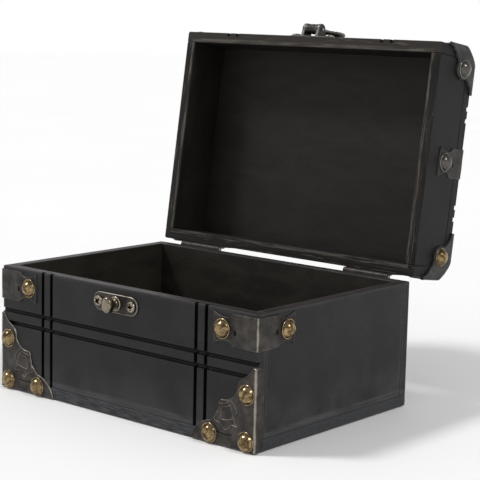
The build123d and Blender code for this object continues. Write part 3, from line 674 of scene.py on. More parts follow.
def painted_wood(name, low, high, grain, on_lid, grooves):
    """Black-stained board, rubbed through at its edges and paler inside, with painted shade in its grooves.
    """
    s = board_shader(name, low, high, grain, on_lid)
    worn = s.band(s.varied(s.varied(s.edge, s.speck, 1.6), s.blotch, 2.6), 0.35, -0.25)
    hollow, rim = hollow_and_rim(s)
    groove_shade = shade_in_grooves(s, grooves)
    colour = s.mix(hollow, outer_stain(s), inner_stain(s))
    colour = s.mix(rim, colour, scraped_rim(s))
    colour = s.mix(s.times(worn, 0.4), colour, (0.048, 0.044, 0.041))
    # The grooves are painted near black and lose sheen: painted shade.
    colour = s.mix(s.times(groove_shade, 0.93), colour, (0.002, 0.002, 0.002))
    roughness = s.add(s.band(s.fibre, 0.3, 0.8, 0.40, 0.56), s.times(hollow, 0.14))
    roughness = s.add(roughness, s.times(worn, 0.15))
    height = s.add(s.times(s.fibre, 0.8), s.times(s.speck, 0.35))
    sheen = s.add(0.17, s.times(hollow, 0.09)) if on_lid else s.add(0.25, s.times(hollow, 0.03))
    sheen = s.times(sheen, s.sub(1.0, s.times(groove_shade, 0.7)))
    return s.finish(colour, roughness, height, rise=0.16, strength=0.55, gloss=sheen)


def aged_bronze(name, dark, mid, bright, on_lid=False):
    """Brown-black patina rubbed back to bare metal along edges and ridges."""
    s = Shader(name, turned=on_lid)
    cloud = s.noise(0.16, 4.0, 0.6)
    fine = s.noise(1.9, 4.0, 0.62)
    pits = s.cells(1.3)
    colour = s.mix(s.band(cloud, 0.33, 0.7), dark, mid)
    colour = s.mix(s.times(s.band(fine, 0.55, 0.8), 0.5), colour, mid)
    rubbed = s.varied(s.varied(s.wear(), fine, 0.7), cloud, 0.9)
    colour = s.mix(s.band(rubbed, 0.42, 0.95), colour, bright)
    colour = s.mix(s.times(s.band(pits, 0.16, 0.04), 0.5), colour, (0.010, 0.009, 0.008))
    colour = s.mix(s.band(s.wear(), -0.1, -0.7), colour, (0.006, 0.005, 0.005))
    roughness = s.add(s.band(fine, 0.3, 0.75, 0.42, 0.60), s.times(s.wear(), -0.08))
    height = s.add(s.times(fine, 0.5), s.times(cloud, 0.8))
    return s.finish(colour, roughness, height, rise=0.12, metallic=0.85, strength=0.6)


def plated(name, deep, face, bright, roughness, on_lid=False, greyed=False):
    """Polished plating, darkened in patches, with painted shade where the wear-and-shade value is below
    zero; greyed makes it greyer towards the front, pale grey where rubbed.
    """
    s = Shader(name, turned=on_lid)
    cloud = s.noise(0.34, 5.0, 0.62, twist=0.8)
    fine = s.noise(2.6, 4.0, 0.6)
    colour = s.mix(s.band(cloud, 0.36, 0.62), deep, face)
    rubbed = s.varied(s.wear(), fine, 0.5)
    colour = s.mix(s.band(rubbed, 0.45, 0.9), colour, bright)
    if greyed:
        # Greyer towards the front, pale grey where rubbed.
        towards_front = s.band(s.y, 30.0, 5.0)
        colour = s.mix(s.times(towards_front, 0.85), colour, (0.085, 0.087, 0.087))
        colour = s.mix(s.times(towards_front, s.band(rubbed, 0.40, 0.6)), colour, (0.26, 0.26, 0.25))
    # Below zero the wear-and-shade value paints it near black: painted shade on the studs' dome sides and
    # foot and in the screws' crosses.
    colour = s.mix(s.band(s.wear(), -0.15, -0.6), colour, (0.010, 0.007, 0.004))
    rough = s.band(cloud, 0.35, 0.7, roughness + 0.12, roughness)
    height = s.add(s.times(fine, 0.4), s.times(cloud, 0.6))
    return s.finish(colour, rough, height, rise=0.05, metallic=1.0, strength=0.5)


def drawn_wire(name, on_lid=False):
    """Steel wire with fine lines along X."""
    s = Shader(name, turned=on_lid)
    lines = s.noise(6.0, 3.0, 0.6, s.stretched((0.08, 1, 1)))
    colour = s.mix(s.band(lines, 0.35, 0.7), (0.22, 0.21, 0.20), (0.45, 0.44, 0.42))
    return s.finish(colour, s.band(lines, 0.3, 0.7, 0.28, 0.45), lines, rise=0.03, metallic=1.0)


# The lid's bronze, gold and brass are darker copies of the base's: painted shade.
METALS = {
    "aged_bronze": (
        aged_bronze("aged_bronze_base", (0.034, 0.031, 0.029), (0.074, 0.067, 0.061), (0.30, 0.27, 0.23)),
        aged_bronze("aged_bronze_lid", (0.030, 0.028, 0.027), (0.060, 0.057, 0.054), (0.20, 0.19, 0.175),
                    on_lid=True),
    ),
    "antique_gold": (
        plated("antique_gold_base", (0.085, 0.056, 0.028), (0.36, 0.262, 0.140), (0.50, 0.43, 0.32), 0.14),
        plated("antique_gold_lid", (0.075, 0.053, 0.025), (0.30, 0.215, 0.105), (0.42, 0.36, 0.27), 0.14,
               on_lid=True, greyed=True),
    ),
    "pale_brass": (
        plated("pale_brass_base", (0.10, 0.082, 0.055), (0.26, 0.225, 0.165), (0.36, 0.32, 0.25), 0.22),
        plated("pale_brass_lid", (0.09, 0.078, 0.058), (0.19, 0.172, 0.140), (0.30, 0.28, 0.24), 0.26,
               on_lid=True),
    ),
    "bright_steel": (drawn_wire("bright_steel_base"), drawn_wire("bright_steel_lid", on_lid=True)),
}
CAP_METAL = aged_bronze("aged_bronze_caps", (0.033, 0.032, 0.031), (0.070, 0.068, 0.065),
                        (0.19, 0.185, 0.175), on_lid=True)
LID_BODIES = ("lid", "hasp_tongue")

# ---- carried-over CAD nodes
GROOVE_FROM_END = (32.2, 38.7)
LEVEL_GROOVES = (36.7, 43.3)
SIDE_GROOVES = [side * (HALF_W - d) for side in (-1, 1) for d in GROOVE_FROM_END]
DEPTH_GROOVES = [side * (HALF_D - d) for side in (-1, 1) for d in GROOVE_FROM_END]
UPRIGHT_ON_FRONT = [(0, x, 1, -HALF_D) for x in SIDE_GROOVES]
LEVEL_ON_FRONT = [(2, z, 1, -HALF_D) for z in LEVEL_GROOVES]
ON_TOP = [(1, y, 2, LID_TOP) for y in DEPTH_GROOVES]
ON_TOP += [(0, x, 2, LID_TOP) for x in SIDE_GROOVES]

GROOVED = {
    "base_front_panel": UPRIGHT_ON_FRONT + LEVEL_ON_FRONT,
    "lid_front_wall": UPRIGHT_ON_FRONT,
    "lid_top_board": ON_TOP,
}
GRAIN_ALONG_X = ("base_front_panel", "base_back_panel", "base_bottom_board", "lid_front_wall",
                 "lid_back_wall", "lid_top_board")
GRAIN_ALONG_Y = ("base_left_panel", "base_right_panel", "lid_left_wall", "lid_right_wall")
METAL_NODES = {
    "bright_steel": ("base_panel_brads", "lid_panel_brads", "hinge_left_pin", "hinge_right_pin", "hasp_pin"),
    "aged_bronze": ("hinge_left_base_leaf", "hinge_right_base_leaf", "hinge_left_lid_leaf",
                    "hinge_right_lid_leaf"),
    "pale_brass": ("hinge_base_screws", "hinge_lid_screws"),
}


def dress(node, material):
    """Gives a CAD node its material."""
    slots = frame["nodes"][node].material_slots
    if not slots:
        frame["nodes"][node].data.materials.append(material)
    for material_slot in slots:
        material_slot.material = material


for node in GRAIN_ALONG_X + GRAIN_ALONG_Y:
    on_lid = frame["nodes"][node]["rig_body"] == "lid"
    points = node_points(node)
    low, high = corners(close_lid(points) if on_lid else points)
    grain = int(node in GRAIN_ALONG_Y)
    dress(node, painted_wood("painted_" + node, low, high, grain, on_lid, GROOVED.get(node, [])))
for slot, nodes in METAL_NODES.items():
    for node in nodes:
        dress(node, METALS[slot][frame["nodes"][node]["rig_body"] == "lid"])

# ---- studs
STUD_RADIUS = 5.0
STUD_HEIGHT = 3.5
STUD_DOME_RADIUS = 4.4
STUD_FLANGE = 0.5
PLATE_SHEET = 0.7
PLATE_STUDS = ((5.5, 28.0), (5.5, 5.2), (28.5, 5.2))
STRAP_SHEET = 0.6
STRAP_LEG = 27.0
STRAP_STUD_TO_TIP = 5.3
STRAP_CENTRE_Z = 57.4
LID_STRAP_SHIFT = 4.5
CAP_PROUD = 1.4
CAP_SIDE_STUD = (11.6, 10.7)
CAP_TOP_STUD = (10.5, 10.5)


def stud(seed):
    """Dome nail head on its flange, slightly dented; its underside is at height 0."""
    # The last flange ring, at the dome's foot, has a wear value below zero: a painted ring of shade.
    flange = [(-0.05, 0, 0.2), (-0.05, 4.9, 0.2), (0.12, STUD_RADIUS, 0.5), (0.34, 4.97, 0.6),
              (0.48, 4.82, 0.6), (0.53, 4.62, 0.3), (0.46, 4.46, -0.5)]
    rings = [(height, radius, radius, worn) for height, radius, worn in flange]
    rise = STUD_HEIGHT - STUD_FLANGE
    ball = (STUD_DOME_RADIUS**2 + rise**2) / (2 * rise)
    widest = math.asin(STUD_DOME_RADIUS / ball)
    for k in range(1, 15):
        t = widest * (1 - k / 15)
        # Below zero on the dome's outer band: painted shade on its sides.
        worn = 0.25 - 0.62 * (t / widest) ** 4
        radius = ball * math.sin(t)
        rings.append((STUD_HEIGHT - ball + ball * math.cos(t), radius, radius, worn))
    rings.append((STUD_HEIGHT, 0, 0, 0.15))
    return loft(rings, seed=seed, dent=0.035)


def seated(shape, point, outward, across):
    """A shape standing on a seat: its height along outward, its width along across."""
    return shape.placed(point, across, np.cross(outward, across), outward)


plate_studs, strap_studs, cap_studs, side_strap_studs = [], [], [], []
for side in (-1, 1):
    for k, (x, z) in enumerate(PLATE_STUDS):
        point = (side * (HALF_W - x), -HALF_D - PLATE_SHEET, z)
        plate_studs.append(seated(stud(10 + k + 5 * side), point, FRONT, RIGHT))
    reach = STRAP_LEG - STRAP_STUD_TO_TIP
    on_front = (side * (HALF_W - reach), -HALF_D - STRAP_SHEET, STRAP_CENTRE_Z)
    on_side = (side * (HALF_W + STRAP_SHEET), -HALF_D + reach, STRAP_CENTRE_Z)
    strap_studs.append(seated(stud(30 + side), on_front, FRONT, RIGHT))
    strap_studs.append(seated(stud(33 + side), on_side, RIGHT * side, BACK))
    down, inward = reach - LID_STRAP_SHIFT, reach + LID_STRAP_SHIFT
    on_wall = (side * (HALF_W + STRAP_SHEET), 0, LID_TOP - down)
    on_top = (side * (HALF_W - inward), 0, LID_TOP + STRAP_SHEET)
    side_strap_studs.append(seated(stud(40 + side), on_wall, RIGHT * side, BACK))
    side_strap_studs.append(seated(stud(43 + side), on_top, UP, RIGHT))
    for end in (-1, 1):
        along, down = CAP_SIDE_STUD
        on_wall = (side * (HALF_W + CAP_PROUD), end * (HALF_D - along), LID_TOP - down)
        across, back = CAP_TOP_STUD
        on_top = (side * (HALF_W - across), end * (HALF_D - back), LID_TOP + CAP_PROUD)
        cap_studs.append(seated(stud(50 + 2 * side + end), on_wall, RIGHT * side, BACK))
        cap_studs.append(seated(stud(60 + 2 * side + end), on_top, UP, RIGHT))

add_piece("corner_plate_studs", joined(plate_studs), "base", "antique_gold", "base_corner_plate_studs")
add_piece("strap_studs", joined(strap_studs), "base", "antique_gold", "base_strap_studs")
add_piece("lid_cap_studs", joined(cap_studs), "lid", "antique_gold", "lid_corner_cap_studs")
add_piece("lid_strap_studs", joined(side_strap_studs), "lid", "antique_gold", "lid_side_strap_studs")

# ---- lower corner plates
PLATE_HEIGHT = 41.6
PLATE_FLANGE = 5.0
PLATE_BOTTOM = 0.4
FOLD_RADIUS = 0.5


def corner_plate():
    """Stamped plate on the left front corner: scalloped edge, raised arch and niche, folded flange."""
    outline = trace(
        (-1.0, PLATE_HEIGHT), (1.8, PLATE_HEIGHT), ((4.6, 37.9), (8.0, 35.6)), ((11.2, 31.9), (11.7, 28.2)),
        ((15.3, 24.6), (21.4, 23.2)), (22.9, 21.6), ((24.6, 15.4), (28.6, 11.6)), ((36.6, 7.4), (40.2, 1.6)),
        (40.2, PLATE_BOTTOM), (-1.0, PLATE_BOTTOM), ((-3.8, PLATE_BOTTOM + 1.2), (-PLATE_FLANGE, 4.4)),
        (-PLATE_FLANGE, PLATE_HEIGHT - 4.0), ((-3.8, PLATE_HEIGHT - 1.2), (-1.0, PLATE_HEIGHT)),
    )[:-1]
    outline = divided(outline, 0.42)
    arch = smooth_path([(25.0, 12.4), (24.4, 15.0), (23.7, 18.4), (23.0, 20.9), (20.2, 21.2), (17.6, 21.9),
                        (15.8, 23.7), (14.2, 23.0), (12.2, 21.0), (11.0, 18.8), (12.6, 15.4), (12.0, 13.2),
                        (10.6, 11.4)], 0.4, closed=False)
    ribbon = smooth_path([(25.0, 12.4), (22.2, 11.6), (20.0, 10.2), (18.4, 8.8), (16.2, 9.7), (14.4, 11.7),
                          (10.6, 11.4)], 0.4, closed=False)
    niche = smooth_path([(20.5, 13.7), (20.9, 16.6), (20.1, 19.4), (17.4, 20.1), (14.9, 21.1), (13.9, 18.4),
                         (13.4, 15.2), (16.6, 13.8)], 0.4)
    slit = divided([(23.6, 6.7), (19.0, 6.2), (14.4, 6.6)], 0.4, closed=False)

    def lines_at(points):
        return np.min([distance_to(points, arch, False), distance_to(points, ribbon, False),
                       distance_to(points, niche)], 0)

    def top(points, edge):
        h = PLATE_SHEET - rounded_edge(edge, 0.4)
        h += 0.16 * ridge(np.abs(edge - 0.55), 0.4)
        h += 0.34 * ridge(lines_at(points), 0.5)
        h -= 0.16 * inside(points, niche) * step(distance_to(points, niche), 0.3, 1.0)
        h -= 0.30 * ridge(distance_to(points, slit, False), 0.45)
        return h + ripple(points, 3, 17, 0.05)

    def wear(points, edge):
        rubbed = np.exp(-edge / 0.5)
        rubbed = np.maximum(rubbed, 0.82 * ridge(lines_at(points), 0.42))
        rubbed = np.maximum(rubbed, 0.95 * ridge(np.abs(points[:, 0] - 0.3), 0.85))
        rubbed = np.maximum(rubbed, 0.90 * np.exp(-np.abs(points[:, 0] + PLATE_FLANGE) / 0.55))
        return rubbed - 0.9 * ridge(distance_to(points, slit, False), 0.5)

    lines = [(arch, 0.5), (ribbon, 0.5), (niche, 0.5), (slit, 0.45)]
    lines.append((divided([(0, 1.0), (0, PLATE_HEIGHT - 0.6)], 0.5, closed=False), 0.4))
    flat = relief([outline], top, lines=lines, wear=wear, spacing=0.8, fine=0.32)
    return folded(flat, FOLD_RADIUS).placed((-HALF_W, -HALF_D, 0))


add_pair("corner_plate", corner_plate(), "base", "aged_bronze", "base_corner_plate")

# ---- straps
STRAP_HALF = 8.15
STRAP_NECK = 5.9
STRAP_TIP_HALF = 8.2
STRAP_TIP_BULGE = 0.3


def strap(leg_front, leg_other, seed):
    """Horned strap round a corner, with a small nail dent on each leg."""

    def half_leg(leg):
        scallop, waist = leg - 12.0, leg - 7.6
        upper = trace((0.0, STRAP_HALF), (scallop, STRAP_HALF),
                      ((scallop + 1.6, STRAP_HALF - 1.5), (waist, STRAP_NECK)),
                      ((leg - 3.2, STRAP_NECK + 0.8), (leg, STRAP_TIP_HALF)),
                      ((leg + STRAP_TIP_BULGE, 0.0), (leg, -STRAP_TIP_HALF)))
        lower = [(x, -y) for x, y in upper[1:-14]][::-1]
        return upper + lower[1:]

    right = half_leg(leg_front)
    left = [(-x, y) for x, y in half_leg(leg_other)][::-1]
    start = right.index((0.0, STRAP_HALF))
    outline = divided(right[start:] + left[:-1], 0.45)
    dents = (
        (leg_front - STRAP_STUD_TO_TIP - 8.2, -1.2),
        (5.2 - leg_other + STRAP_STUD_TO_TIP + 3.0, -0.6),
    )

    def dent(points):
        away = [np.hypot(points[:, 0] - x, (points[:, 1] - y) * 0.7) for x, y in dents]
        return np.max([ridge(distance, 0.9) for distance in away], 0)

    def top(points, edge):
        h = STRAP_SHEET - rounded_edge(edge, 0.35) + 0.10 * ridge(np.abs(edge - 0.5), 0.35)
        return h - 0.45 * dent(points) + ripple(points, seed, 13, 0.06)

    def wear(points, edge):
        lower = 0.42 + 0.55 * step(-points[:, 1], -2.0, 4.0)
        rubbed = np.maximum(lower * np.exp(-edge / 0.5), 0.88 * ridge(np.abs(points[:, 0]), 0.65))
        return rubbed - 2.0 * dent(points) - 0.42 * step(np.abs(points[:, 0]), 9.0, 17.0)

    lines = [(circle(0.4, 10, d), 0.35) for d in dents]
    lines.append((divided([(0, -STRAP_HALF + 0.6), (0, STRAP_HALF - 0.6)], 0.5, closed=False), 0.4))
    return folded(relief([outline], top, lines=lines, wear=wear, spacing=0.9, fine=0.34), FOLD_RADIUS)


base_strap = strap(STRAP_LEG, STRAP_LEG, 5).placed((-HALF_W, -HALF_D, STRAP_CENTRE_Z))
add_pair("strap", base_strap, "base", "aged_bronze", "base_strap")

lid_strap = strap(STRAP_LEG - LID_STRAP_SHIFT, STRAP_LEG + LID_STRAP_SHIFT, 8)
lid_strap = lid_strap.placed((-HALF_W, 0, LID_TOP), DOWN, RIGHT, FRONT)
add_pair("lid_strap", lid_strap, "lid", "aged_bronze", "lid_side_strap")

# ---- lid corner caps
CAP_REACH = 24.7
CAP_LOBE_RADIUS = 6.1
CAP_BALL_RADIUS = 39.3
CAP_INSET = 24.6
CAP_STUD_RING = 5.3
CAP_SIDE_POINTS = 46


def cap_face(lobe_centre):
    """Cap outline on one face, (distance, distance) from the corner, with a lobe round its stud."""
    out = -CAP_PROUD
    curve = trace((CAP_REACH, 1.0), ((20.0, 3.6), (17.0, 8.0)), (8.0, 17.0),
                  ((3.6, 20.0), (1.0, CAP_REACH)))
    curve = divided(curve, 0.5, closed=False)
    offset = curve - lobe_centre
    within = np.nonzero(np.hypot(*offset.T) < CAP_LOBE_RADIUS)[0]
    first, last = within[0], within[-1]
    start, end = math.atan2(*offset[first][::-1]), math.atan2(*offset[last][::-1])
    t = np.linspace(start, end, int(abs(end - start) * CAP_LOBE_RADIUS / 0.5))
    lobe = lobe_centre + CAP_LOBE_RADIUS * np.column_stack((np.cos(t), np.sin(t)))
    free = np.vstack((curve[:first], lobe, curve[last + 1:]))
    straight = np.linspace(out, CAP_REACH, CAP_SIDE_POINTS)
    flush = np.full(CAP_SIDE_POINTS, out)
    down = np.column_stack((flush, straight[::-1]))
    across = np.column_stack((straight, flush))
    corner_run = np.vstack((down[:-1], across))
    return free, np.vstack((free, corner_run))


def cap_skin(points, inward, half, ball):
    """Points at distances from the corner, drawn in towards the ball and the rounded edges."""
    v = (points - CAP_INSET) / half[:, None]
    box = (np.maximum(-v, 0) ** inward).sum(1) ** (1 / inward)
    p = v * half[:, None] / box[:, None]
    size = np.linalg.norm(p, axis=1)
    spare = np.clip((ball - size) / 0.9 + 0.5, 0, 1)
    limit = size * spare + ball * (1 - spare) - 0.45 * spare * (1 - spare)
    return CAP_INSET + p * (np.minimum(limit, size) / size)[:, None]


def corner_cap():
    """Three-sided cap on the left front corner of the closed lid."""
    places = {"side": CAP_SIDE_STUD, "front": CAP_TOP_STUD, "top": CAP_TOP_STUD}
    shapes = []
    for face, centre in places.items():
        free, loop = cap_face(np.array(centre))
        ring = circle(CAP_STUD_RING, 60, centre)
        points, triangles = triangulated([loop], [(ring, 0.5)], spacing=0.9, fine=0.35)
        edge = distance_to(points, free, closed=False)
        proud = CAP_PROUD - 1.6 * rounded_edge(edge, 0.5) + 0.12 * ridge(np.abs(edge - 0.7), 0.5)
        if face != "front":
            from_stud = np.hypot(points[:, 0] - centre[0], points[:, 1] - centre[1])
            proud += 0.22 * ridge(np.abs(from_stud - CAP_STUD_RING), 0.5)
        a, b = points.T
        on_a, on_b = np.isclose(a, -CAP_PROUD, atol=1e-3), np.isclose(b, -CAP_PROUD, atol=1e-3)

        def three(level):
            first, second = np.where(on_a, -level, a), np.where(on_b, -level, b)
            columns = {"side": (-level, first, second), "front": (first, -level, second),
                       "top": (first, second, -level)}[face]
            return np.column_stack(columns)

        on_edge = on_a | on_b
        proud = np.where(on_edge, CAP_PROUD, proud)
        outer = cap_skin(three(proud), 26, CAP_INSET + proud, CAP_BALL_RADIUS)
        thin = np.full(len(points), 0.04)
        inner = cap_skin(three(thin), 90, CAP_INSET + thin, CAP_BALL_RADIUS - 1.5)
        count = len(points)
        skirt = []
        for i, j in open_edges(triangles):
            if not (on_edge[i] and on_edge[j]):
                skirt.append((j, i, i + count, j + count))
        faces = triangles.tolist() + (triangles[:, ::-1] + count).tolist() + skirt
        from_corner = np.linalg.norm(outer + CAP_PROUD, axis=1)
        rubbed = 0.55 * np.exp(-edge / 0.6) + 0.45 * np.exp(-np.minimum(a, b).clip(-2, 9) - 1.4)
        rubbed += 0.25 * np.exp(-((from_corner - 8) / 6) ** 2)
        shapes.append(Shape(np.vstack((outer, inner)), faces, np.concatenate((rubbed, rubbed))))
    cap = joined(shapes)
    cap.points = cap.points * (1, 1, -1) + (-HALF_W, -HALF_D, LID_TOP)
    return cap


CORNERS = ("front_left", "back_left", "front_right", "back_right")
for name, shape in zip(CORNERS, corner_cap().four_corners()):
    add_piece("lid_cap_" + name, shape, "lid", "aged_bronze", "lid_corner_cap_" + name, CAP_METAL)

# ---- latch plate, screws and turn button
LATCH_X = -3.1
LATCH_Z = 58.8
LATCH_LENGTH = 31.5
LATCH_HEIGHT = 10.0
LATCH_SHEET = 0.9
SCREW_SPACING = 23.2
SCREW_RADIUS = 2.8
SCREW_HEIGHT = 1.7
HASP_Z = LID_RIM + 9.7
HASP_PIN_OUT = 5.2


def screw_plate():
    """Round-ended plate with a raised border."""

    def top(points, edge):
        h = LATCH_SHEET - 0.24 - rounded_edge(edge, 0.3) + 0.24 * ridge(np.abs(edge - 0.5), 0.45)
        return h + ripple(points, 12, 9, 0.02)

    def wear(points, edge):
        return 0.95 * ridge(np.abs(edge - 0.35), 0.5)

    return relief([stadium(LATCH_LENGTH, LATCH_HEIGHT)], top, wear=wear, spacing=0.6, fine=0.3)


def bar(points, half_length, half_width):
    """Signed distance to a bar about the origin."""
    q = np.abs(points) - (half_length, half_width)
    return np.hypot(*np.maximum(q, 0).T) + np.minimum(q.max(1), 0)


def screw_head(turn, radius=SCREW_RADIUS, height=SCREW_HEIGHT):
    """Domed cross-head screw, its cross turned by some degrees."""
    arm, half = radius * 0.60, radius * 0.17
    cross = np.array([(arm, half), (half * 1.6, half * 1.6), (half, arm)])
    cross = np.vstack([cross @ np.array([[math.cos(t), math.sin(t)], [-math.sin(t), math.cos(t)]])
                       for t in np.arange(4) * math.pi / 2])
    cross = divided(cross, 0.2)

    def recess(points):
        d = np.minimum(bar(points, arm, half), bar(points[:, ::-1], arm, half))
        return np.minimum(d, np.hypot(*points.T) - half * 2.1)

    def top(points, edge):
        r = np.hypot(*points.T) / radius
        dome = height * (0.52 + 0.48 * np.sqrt(np.clip(1 - r**2.4, 0, 1)))
        return dome - rounded_edge(edge, 0.3) * 0.6 - 0.85 * step(-recess(points), -0.06, 0.16)

    def wear(points, edge):
        # The cross gets a value below zero, which paints it near black: painted shade in the recess.
        return 0.7 - 1.6 * step(-recess(points), -0.12, 0.1)

    shape = relief([circle(radius, 56)], top, lines=[(cross, 0.09)], wear=wear, spacing=0.4, fine=0.16)
    c, s = math.cos(math.radians(turn)), math.sin(math.radians(turn))
    return shape.placed((0, 0, 0), np.array((c, s, 0)), np.array((-s, c, 0)), UP)


def on_front(shape, x, z, out=0.0):
    """A flat shape laid on the front face."""
    return shape.placed((x, -HALF_D - out, z), RIGHT, UP, FRONT)


def screw_pair(z, turns):
    """The two screws of a plate at a height, each with its cross turned."""
    places = [LATCH_X + side * SCREW_SPACING / 2 for side in (-1, 1)]
    return joined([on_front(screw_head(turn), x, z, LATCH_SHEET - 0.25) for x, turn in zip(places, turns)])


latch = screw_plate()
add_piece("latch_face", on_front(latch, LATCH_X, LATCH_Z), "base", "aged_bronze", "latch_plate")
add_piece("latch_screw_heads", screw_pair(LATCH_Z, (38, 12)), "base", "pale_brass", "latch_screws")

knob_rings = smooth_rings([
    (LATCH_SHEET + 0.05, 0, 0, 0.0), (LATCH_SHEET + 0.05, 3.5, 3.5, 0.2), (1.15, 3.7, 3.7, 0.9),
    (1.38, 3.45, 3.45, 0.7), (1.45, 2.6, 2.6, 0.0), (1.75, 2.15, 2.15, 0.0), (2.9, 1.95, 2.0, 0.0),
    (4.0, 2.05, 2.4, 0.0), (4.55, 2.95, 3.75, 0.2), (5.0, 3.25, 4.12, 0.5), (6.6, 3.3, 4.2, 0.3),
    (7.5, 2.95, 3.85, 0.5), (7.95, 1.9, 2.7, 0.6), (8.0, 0, 0, 0.6),
])
knob = on_front(loft(knob_rings, count=52), LATCH_X, LATCH_Z)
add_piece("turn_knob", knob, "turn_button", "pale_brass", "turn_button", sharp=60)

# ---- hasp
EAR = (4.0, 6.0)
BARREL = 3.2
TONGUE_OUT = 5.2
TONGUE_SHEET = 1.0
TONGUE_NECK = 6.0
TONGUE_SLOT_FROM_PIN = 18.4
TONGUE_EYE = (6.6, 8.0)
TONGUE_SLOT = (7.0, 10.0)


def ear():
    """Upright ear with a rounded top, seen from its side: u is out from the lid, v is up."""
    outline = trace((0.5, -BARREL - 0.9), (HASP_PIN_OUT - 0.4, -BARREL + 0.1),
                    ((HASP_PIN_OUT + BARREL, 0.0), (HASP_PIN_OUT - 0.4, BARREL - 0.1)), (0.5, BARREL + 0.9))
    outline = divided(outline, 0.4)
    width = EAR[1] - EAR[0]

    def top(points, edge):
        return width - rounded_edge(edge, 0.35)

    def bottom(points, edge):
        return rounded_edge(edge, 0.35)

    shape = relief([outline], top, bottom, spacing=0.6, fine=0.3)
    return shape.placed((0, 0, 0), FRONT, UP, RIGHT)


ears = [ear().placed((LATCH_X + x, -HALF_D, HASP_Z)) for x in (EAR[0], -EAR[1])]
hasp = joined([on_front(latch, LATCH_X, HASP_Z)] + ears)
add_piece("hasp_face", hasp, "lid", "aged_bronze", "hasp_plate")
add_piece("hasp_screw_heads", screw_pair(HASP_Z, (70, 24)), "lid", "pale_brass", "hasp_screws")


def tongue():
    """Slotted tongue folded back up the lid, with the barrel round its pin."""
    eye_x, eye_y = TONGUE_EYE
    t = np.linspace(-math.pi / 2, math.pi / 2, 40)
    side = []
    for angle in t:
        x, y = eye_x * math.cos(angle), TONGUE_SLOT_FROM_PIN + eye_y * math.sin(angle)
        if y > TONGUE_SLOT_FROM_PIN or x > TONGUE_NECK / 2:
            side.append((x, y))
    right = [(TONGUE_NECK / 2, 0.6)] + side
    outline = divided(right + [(-x, y) for x, y in right[::-1]][1:], 0.45)
    slot = stadium(TONGUE_SLOT[1], TONGUE_SLOT[0])[:, ::-1] + (0, TONGUE_SLOT_FROM_PIN)

    def top(points, edge):
        around = np.arctan2(points[:, 1] - TONGUE_SLOT_FROM_PIN, points[:, 0])
        border = 0.45 * ridge(np.abs(edge - 0.9), 0.7) * (1 + 0.3 * np.sin(18 * around))
        h = TONGUE_OUT + TONGUE_SHEET / 2 - rounded_edge(edge, 0.3) + border
        return h + ripple(points, 21, 5, 0.06)

    def bottom(points, edge):
        drop = rounded_edge(edge, 0.3)
        eye_start = TONGUE_SLOT_FROM_PIN - eye_y
        on_eye = step(points[:, 1], eye_start - 1.0, eye_start + 1.0)
        border = 0.9 * on_eye * ridge(np.abs(edge - 0.8), 0.8)
        return TONGUE_OUT - TONGUE_SHEET / 2 + drop - border

    flat = relief([outline, slot], top, bottom, spacing=0.7, fine=0.34)
    half = EAR[0] - 0.15
    barrel = loft(smooth_rings([
        (-half, 0, 0, 0.2), (-half, 2.7, 2.7, 0.7), (-half + 0.3, 2.98, 2.98, 0.6),
        (-1.2, 2.80, 2.80, -0.2), (0.0, 2.95, 2.95, 0.3), (1.2, 2.80, 2.80, -0.2),
        (half - 0.3, 2.98, 2.98, 0.6), (half, 2.7, 2.7, 0.7), (half, 0, 0, 0.2),
    ]), count=36)
    barrel = barrel.placed((0, 0, HASP_PIN_OUT), UP, BACK, RIGHT)
    return on_front(joined([flat, barrel]), LATCH_X, HASP_Z)


add_piece("hasp_loop", tongue(), "hasp_tongue", "aged_bronze", "hasp_tongue")


# ---- floor, light and camera
def pale_floor():
    s = Shader("pale_floor")
    cloud = s.noise(0.004, 3.0, 0.5)
    colour = s.mix(cloud, (0.91, 0.91, 0.91), (0.94, 0.94, 0.94))
    return s.finish(colour, s.band(cloud, 0.3, 0.7, 0.75, 0.85))


bm = bmesh.new()
bmesh.ops.create_grid(bm, x_segments=24, y_segments=24, size=4.0)
mesh = bpy.data.meshes.new("floor")
bm.to_mesh(mesh)
bm.free()
mesh.materials.append(pale_floor())
floor = new_object("floor", mesh)
floor.location = (0, 0, cad_low[2] - 0.0002)


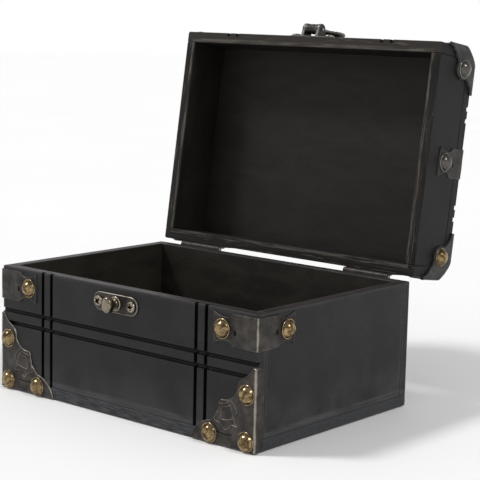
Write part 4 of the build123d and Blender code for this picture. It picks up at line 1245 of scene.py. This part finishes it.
def studio_world(horizon, zenith):
    """White sweep at the horizon that falls off to a dimmer ceiling."""
    world = bpy.data.worlds.new("studio")
    world.use_nodes = True
    nodes, links = world.node_tree.nodes, world.node_tree.links
    direction = nodes.new("ShaderNodeTexCoord")
    split = nodes.new("ShaderNodeSeparateXYZ")
    fall = nodes.new("ShaderNodeMapRange")
    fall.interpolation_type = "SMOOTHSTEP"
    for socket, value in zip(list(fall.inputs)[1:5], (0.06, 0.62, horizon, zenith)):
        socket.default_value = value
    links.new(direction.outputs["Generated"], split.inputs[0])
    links.new(split.outputs["Z"], fall.inputs[0])
    links.new(fall.outputs[0], nodes["Background"].inputs["Strength"])
    nodes["Background"].inputs["Color"].default_value = (1.0, 1.0, 1.0, 1.0)
    return world


def large_lamp(name, towards, strength, spread):
    """Far, wide lamp that shines from one direction."""
    light = bpy.data.lights.new(name, "SUN")
    light.energy = strength
    light.angle = math.radians(spread)
    obj = new_object(name, light)
    obj.location = Vector(towards) * 2.0
    obj.rotation_mode = "QUATERNION"
    obj.rotation_quaternion = Vector(towards).to_track_quat("Z", "Y")


bpy.context.scene.world = studio_world(1.0, 0.42)
bpy.context.scene.view_settings.view_transform = "Standard"
large_lamp("lamp_left", (-0.49, -0.39, 0.78), 1.55, 11)
large_lamp("lamp_right", (0.69, -0.05, 0.64), 0.95, 16)

AZIMUTH, ELEVATION, ROLL = (math.radians(v) for v in (40.404, 8.915, 1.296))
TARGET = Vector((0.02477, 0.0, 0.0880))
DISTANCE = 0.7774
FOCAL_LENGTH = 112.135

flat = math.cos(ELEVATION)
back = Vector((math.sin(AZIMUTH) * flat, -math.cos(AZIMUTH) * flat, math.sin(ELEVATION)))
right = Vector((math.cos(AZIMUTH), math.sin(AZIMUTH), 0))
up = back.cross(right)
right, up = (math.cos(ROLL) * right + math.sin(ROLL) * up, math.cos(ROLL) * up - math.sin(ROLL) * right)
camera = new_object("camera", bpy.data.cameras.new("camera"))
camera.data.lens = FOCAL_LENGTH
camera.data.clip_start = 0.05
turn = Matrix((right, up, back)).transposed().to_4x4()
camera.matrix_world = Matrix.Translation(TARGET + back * DISTANCE) @ turn
bpy.context.scene.camera = camera
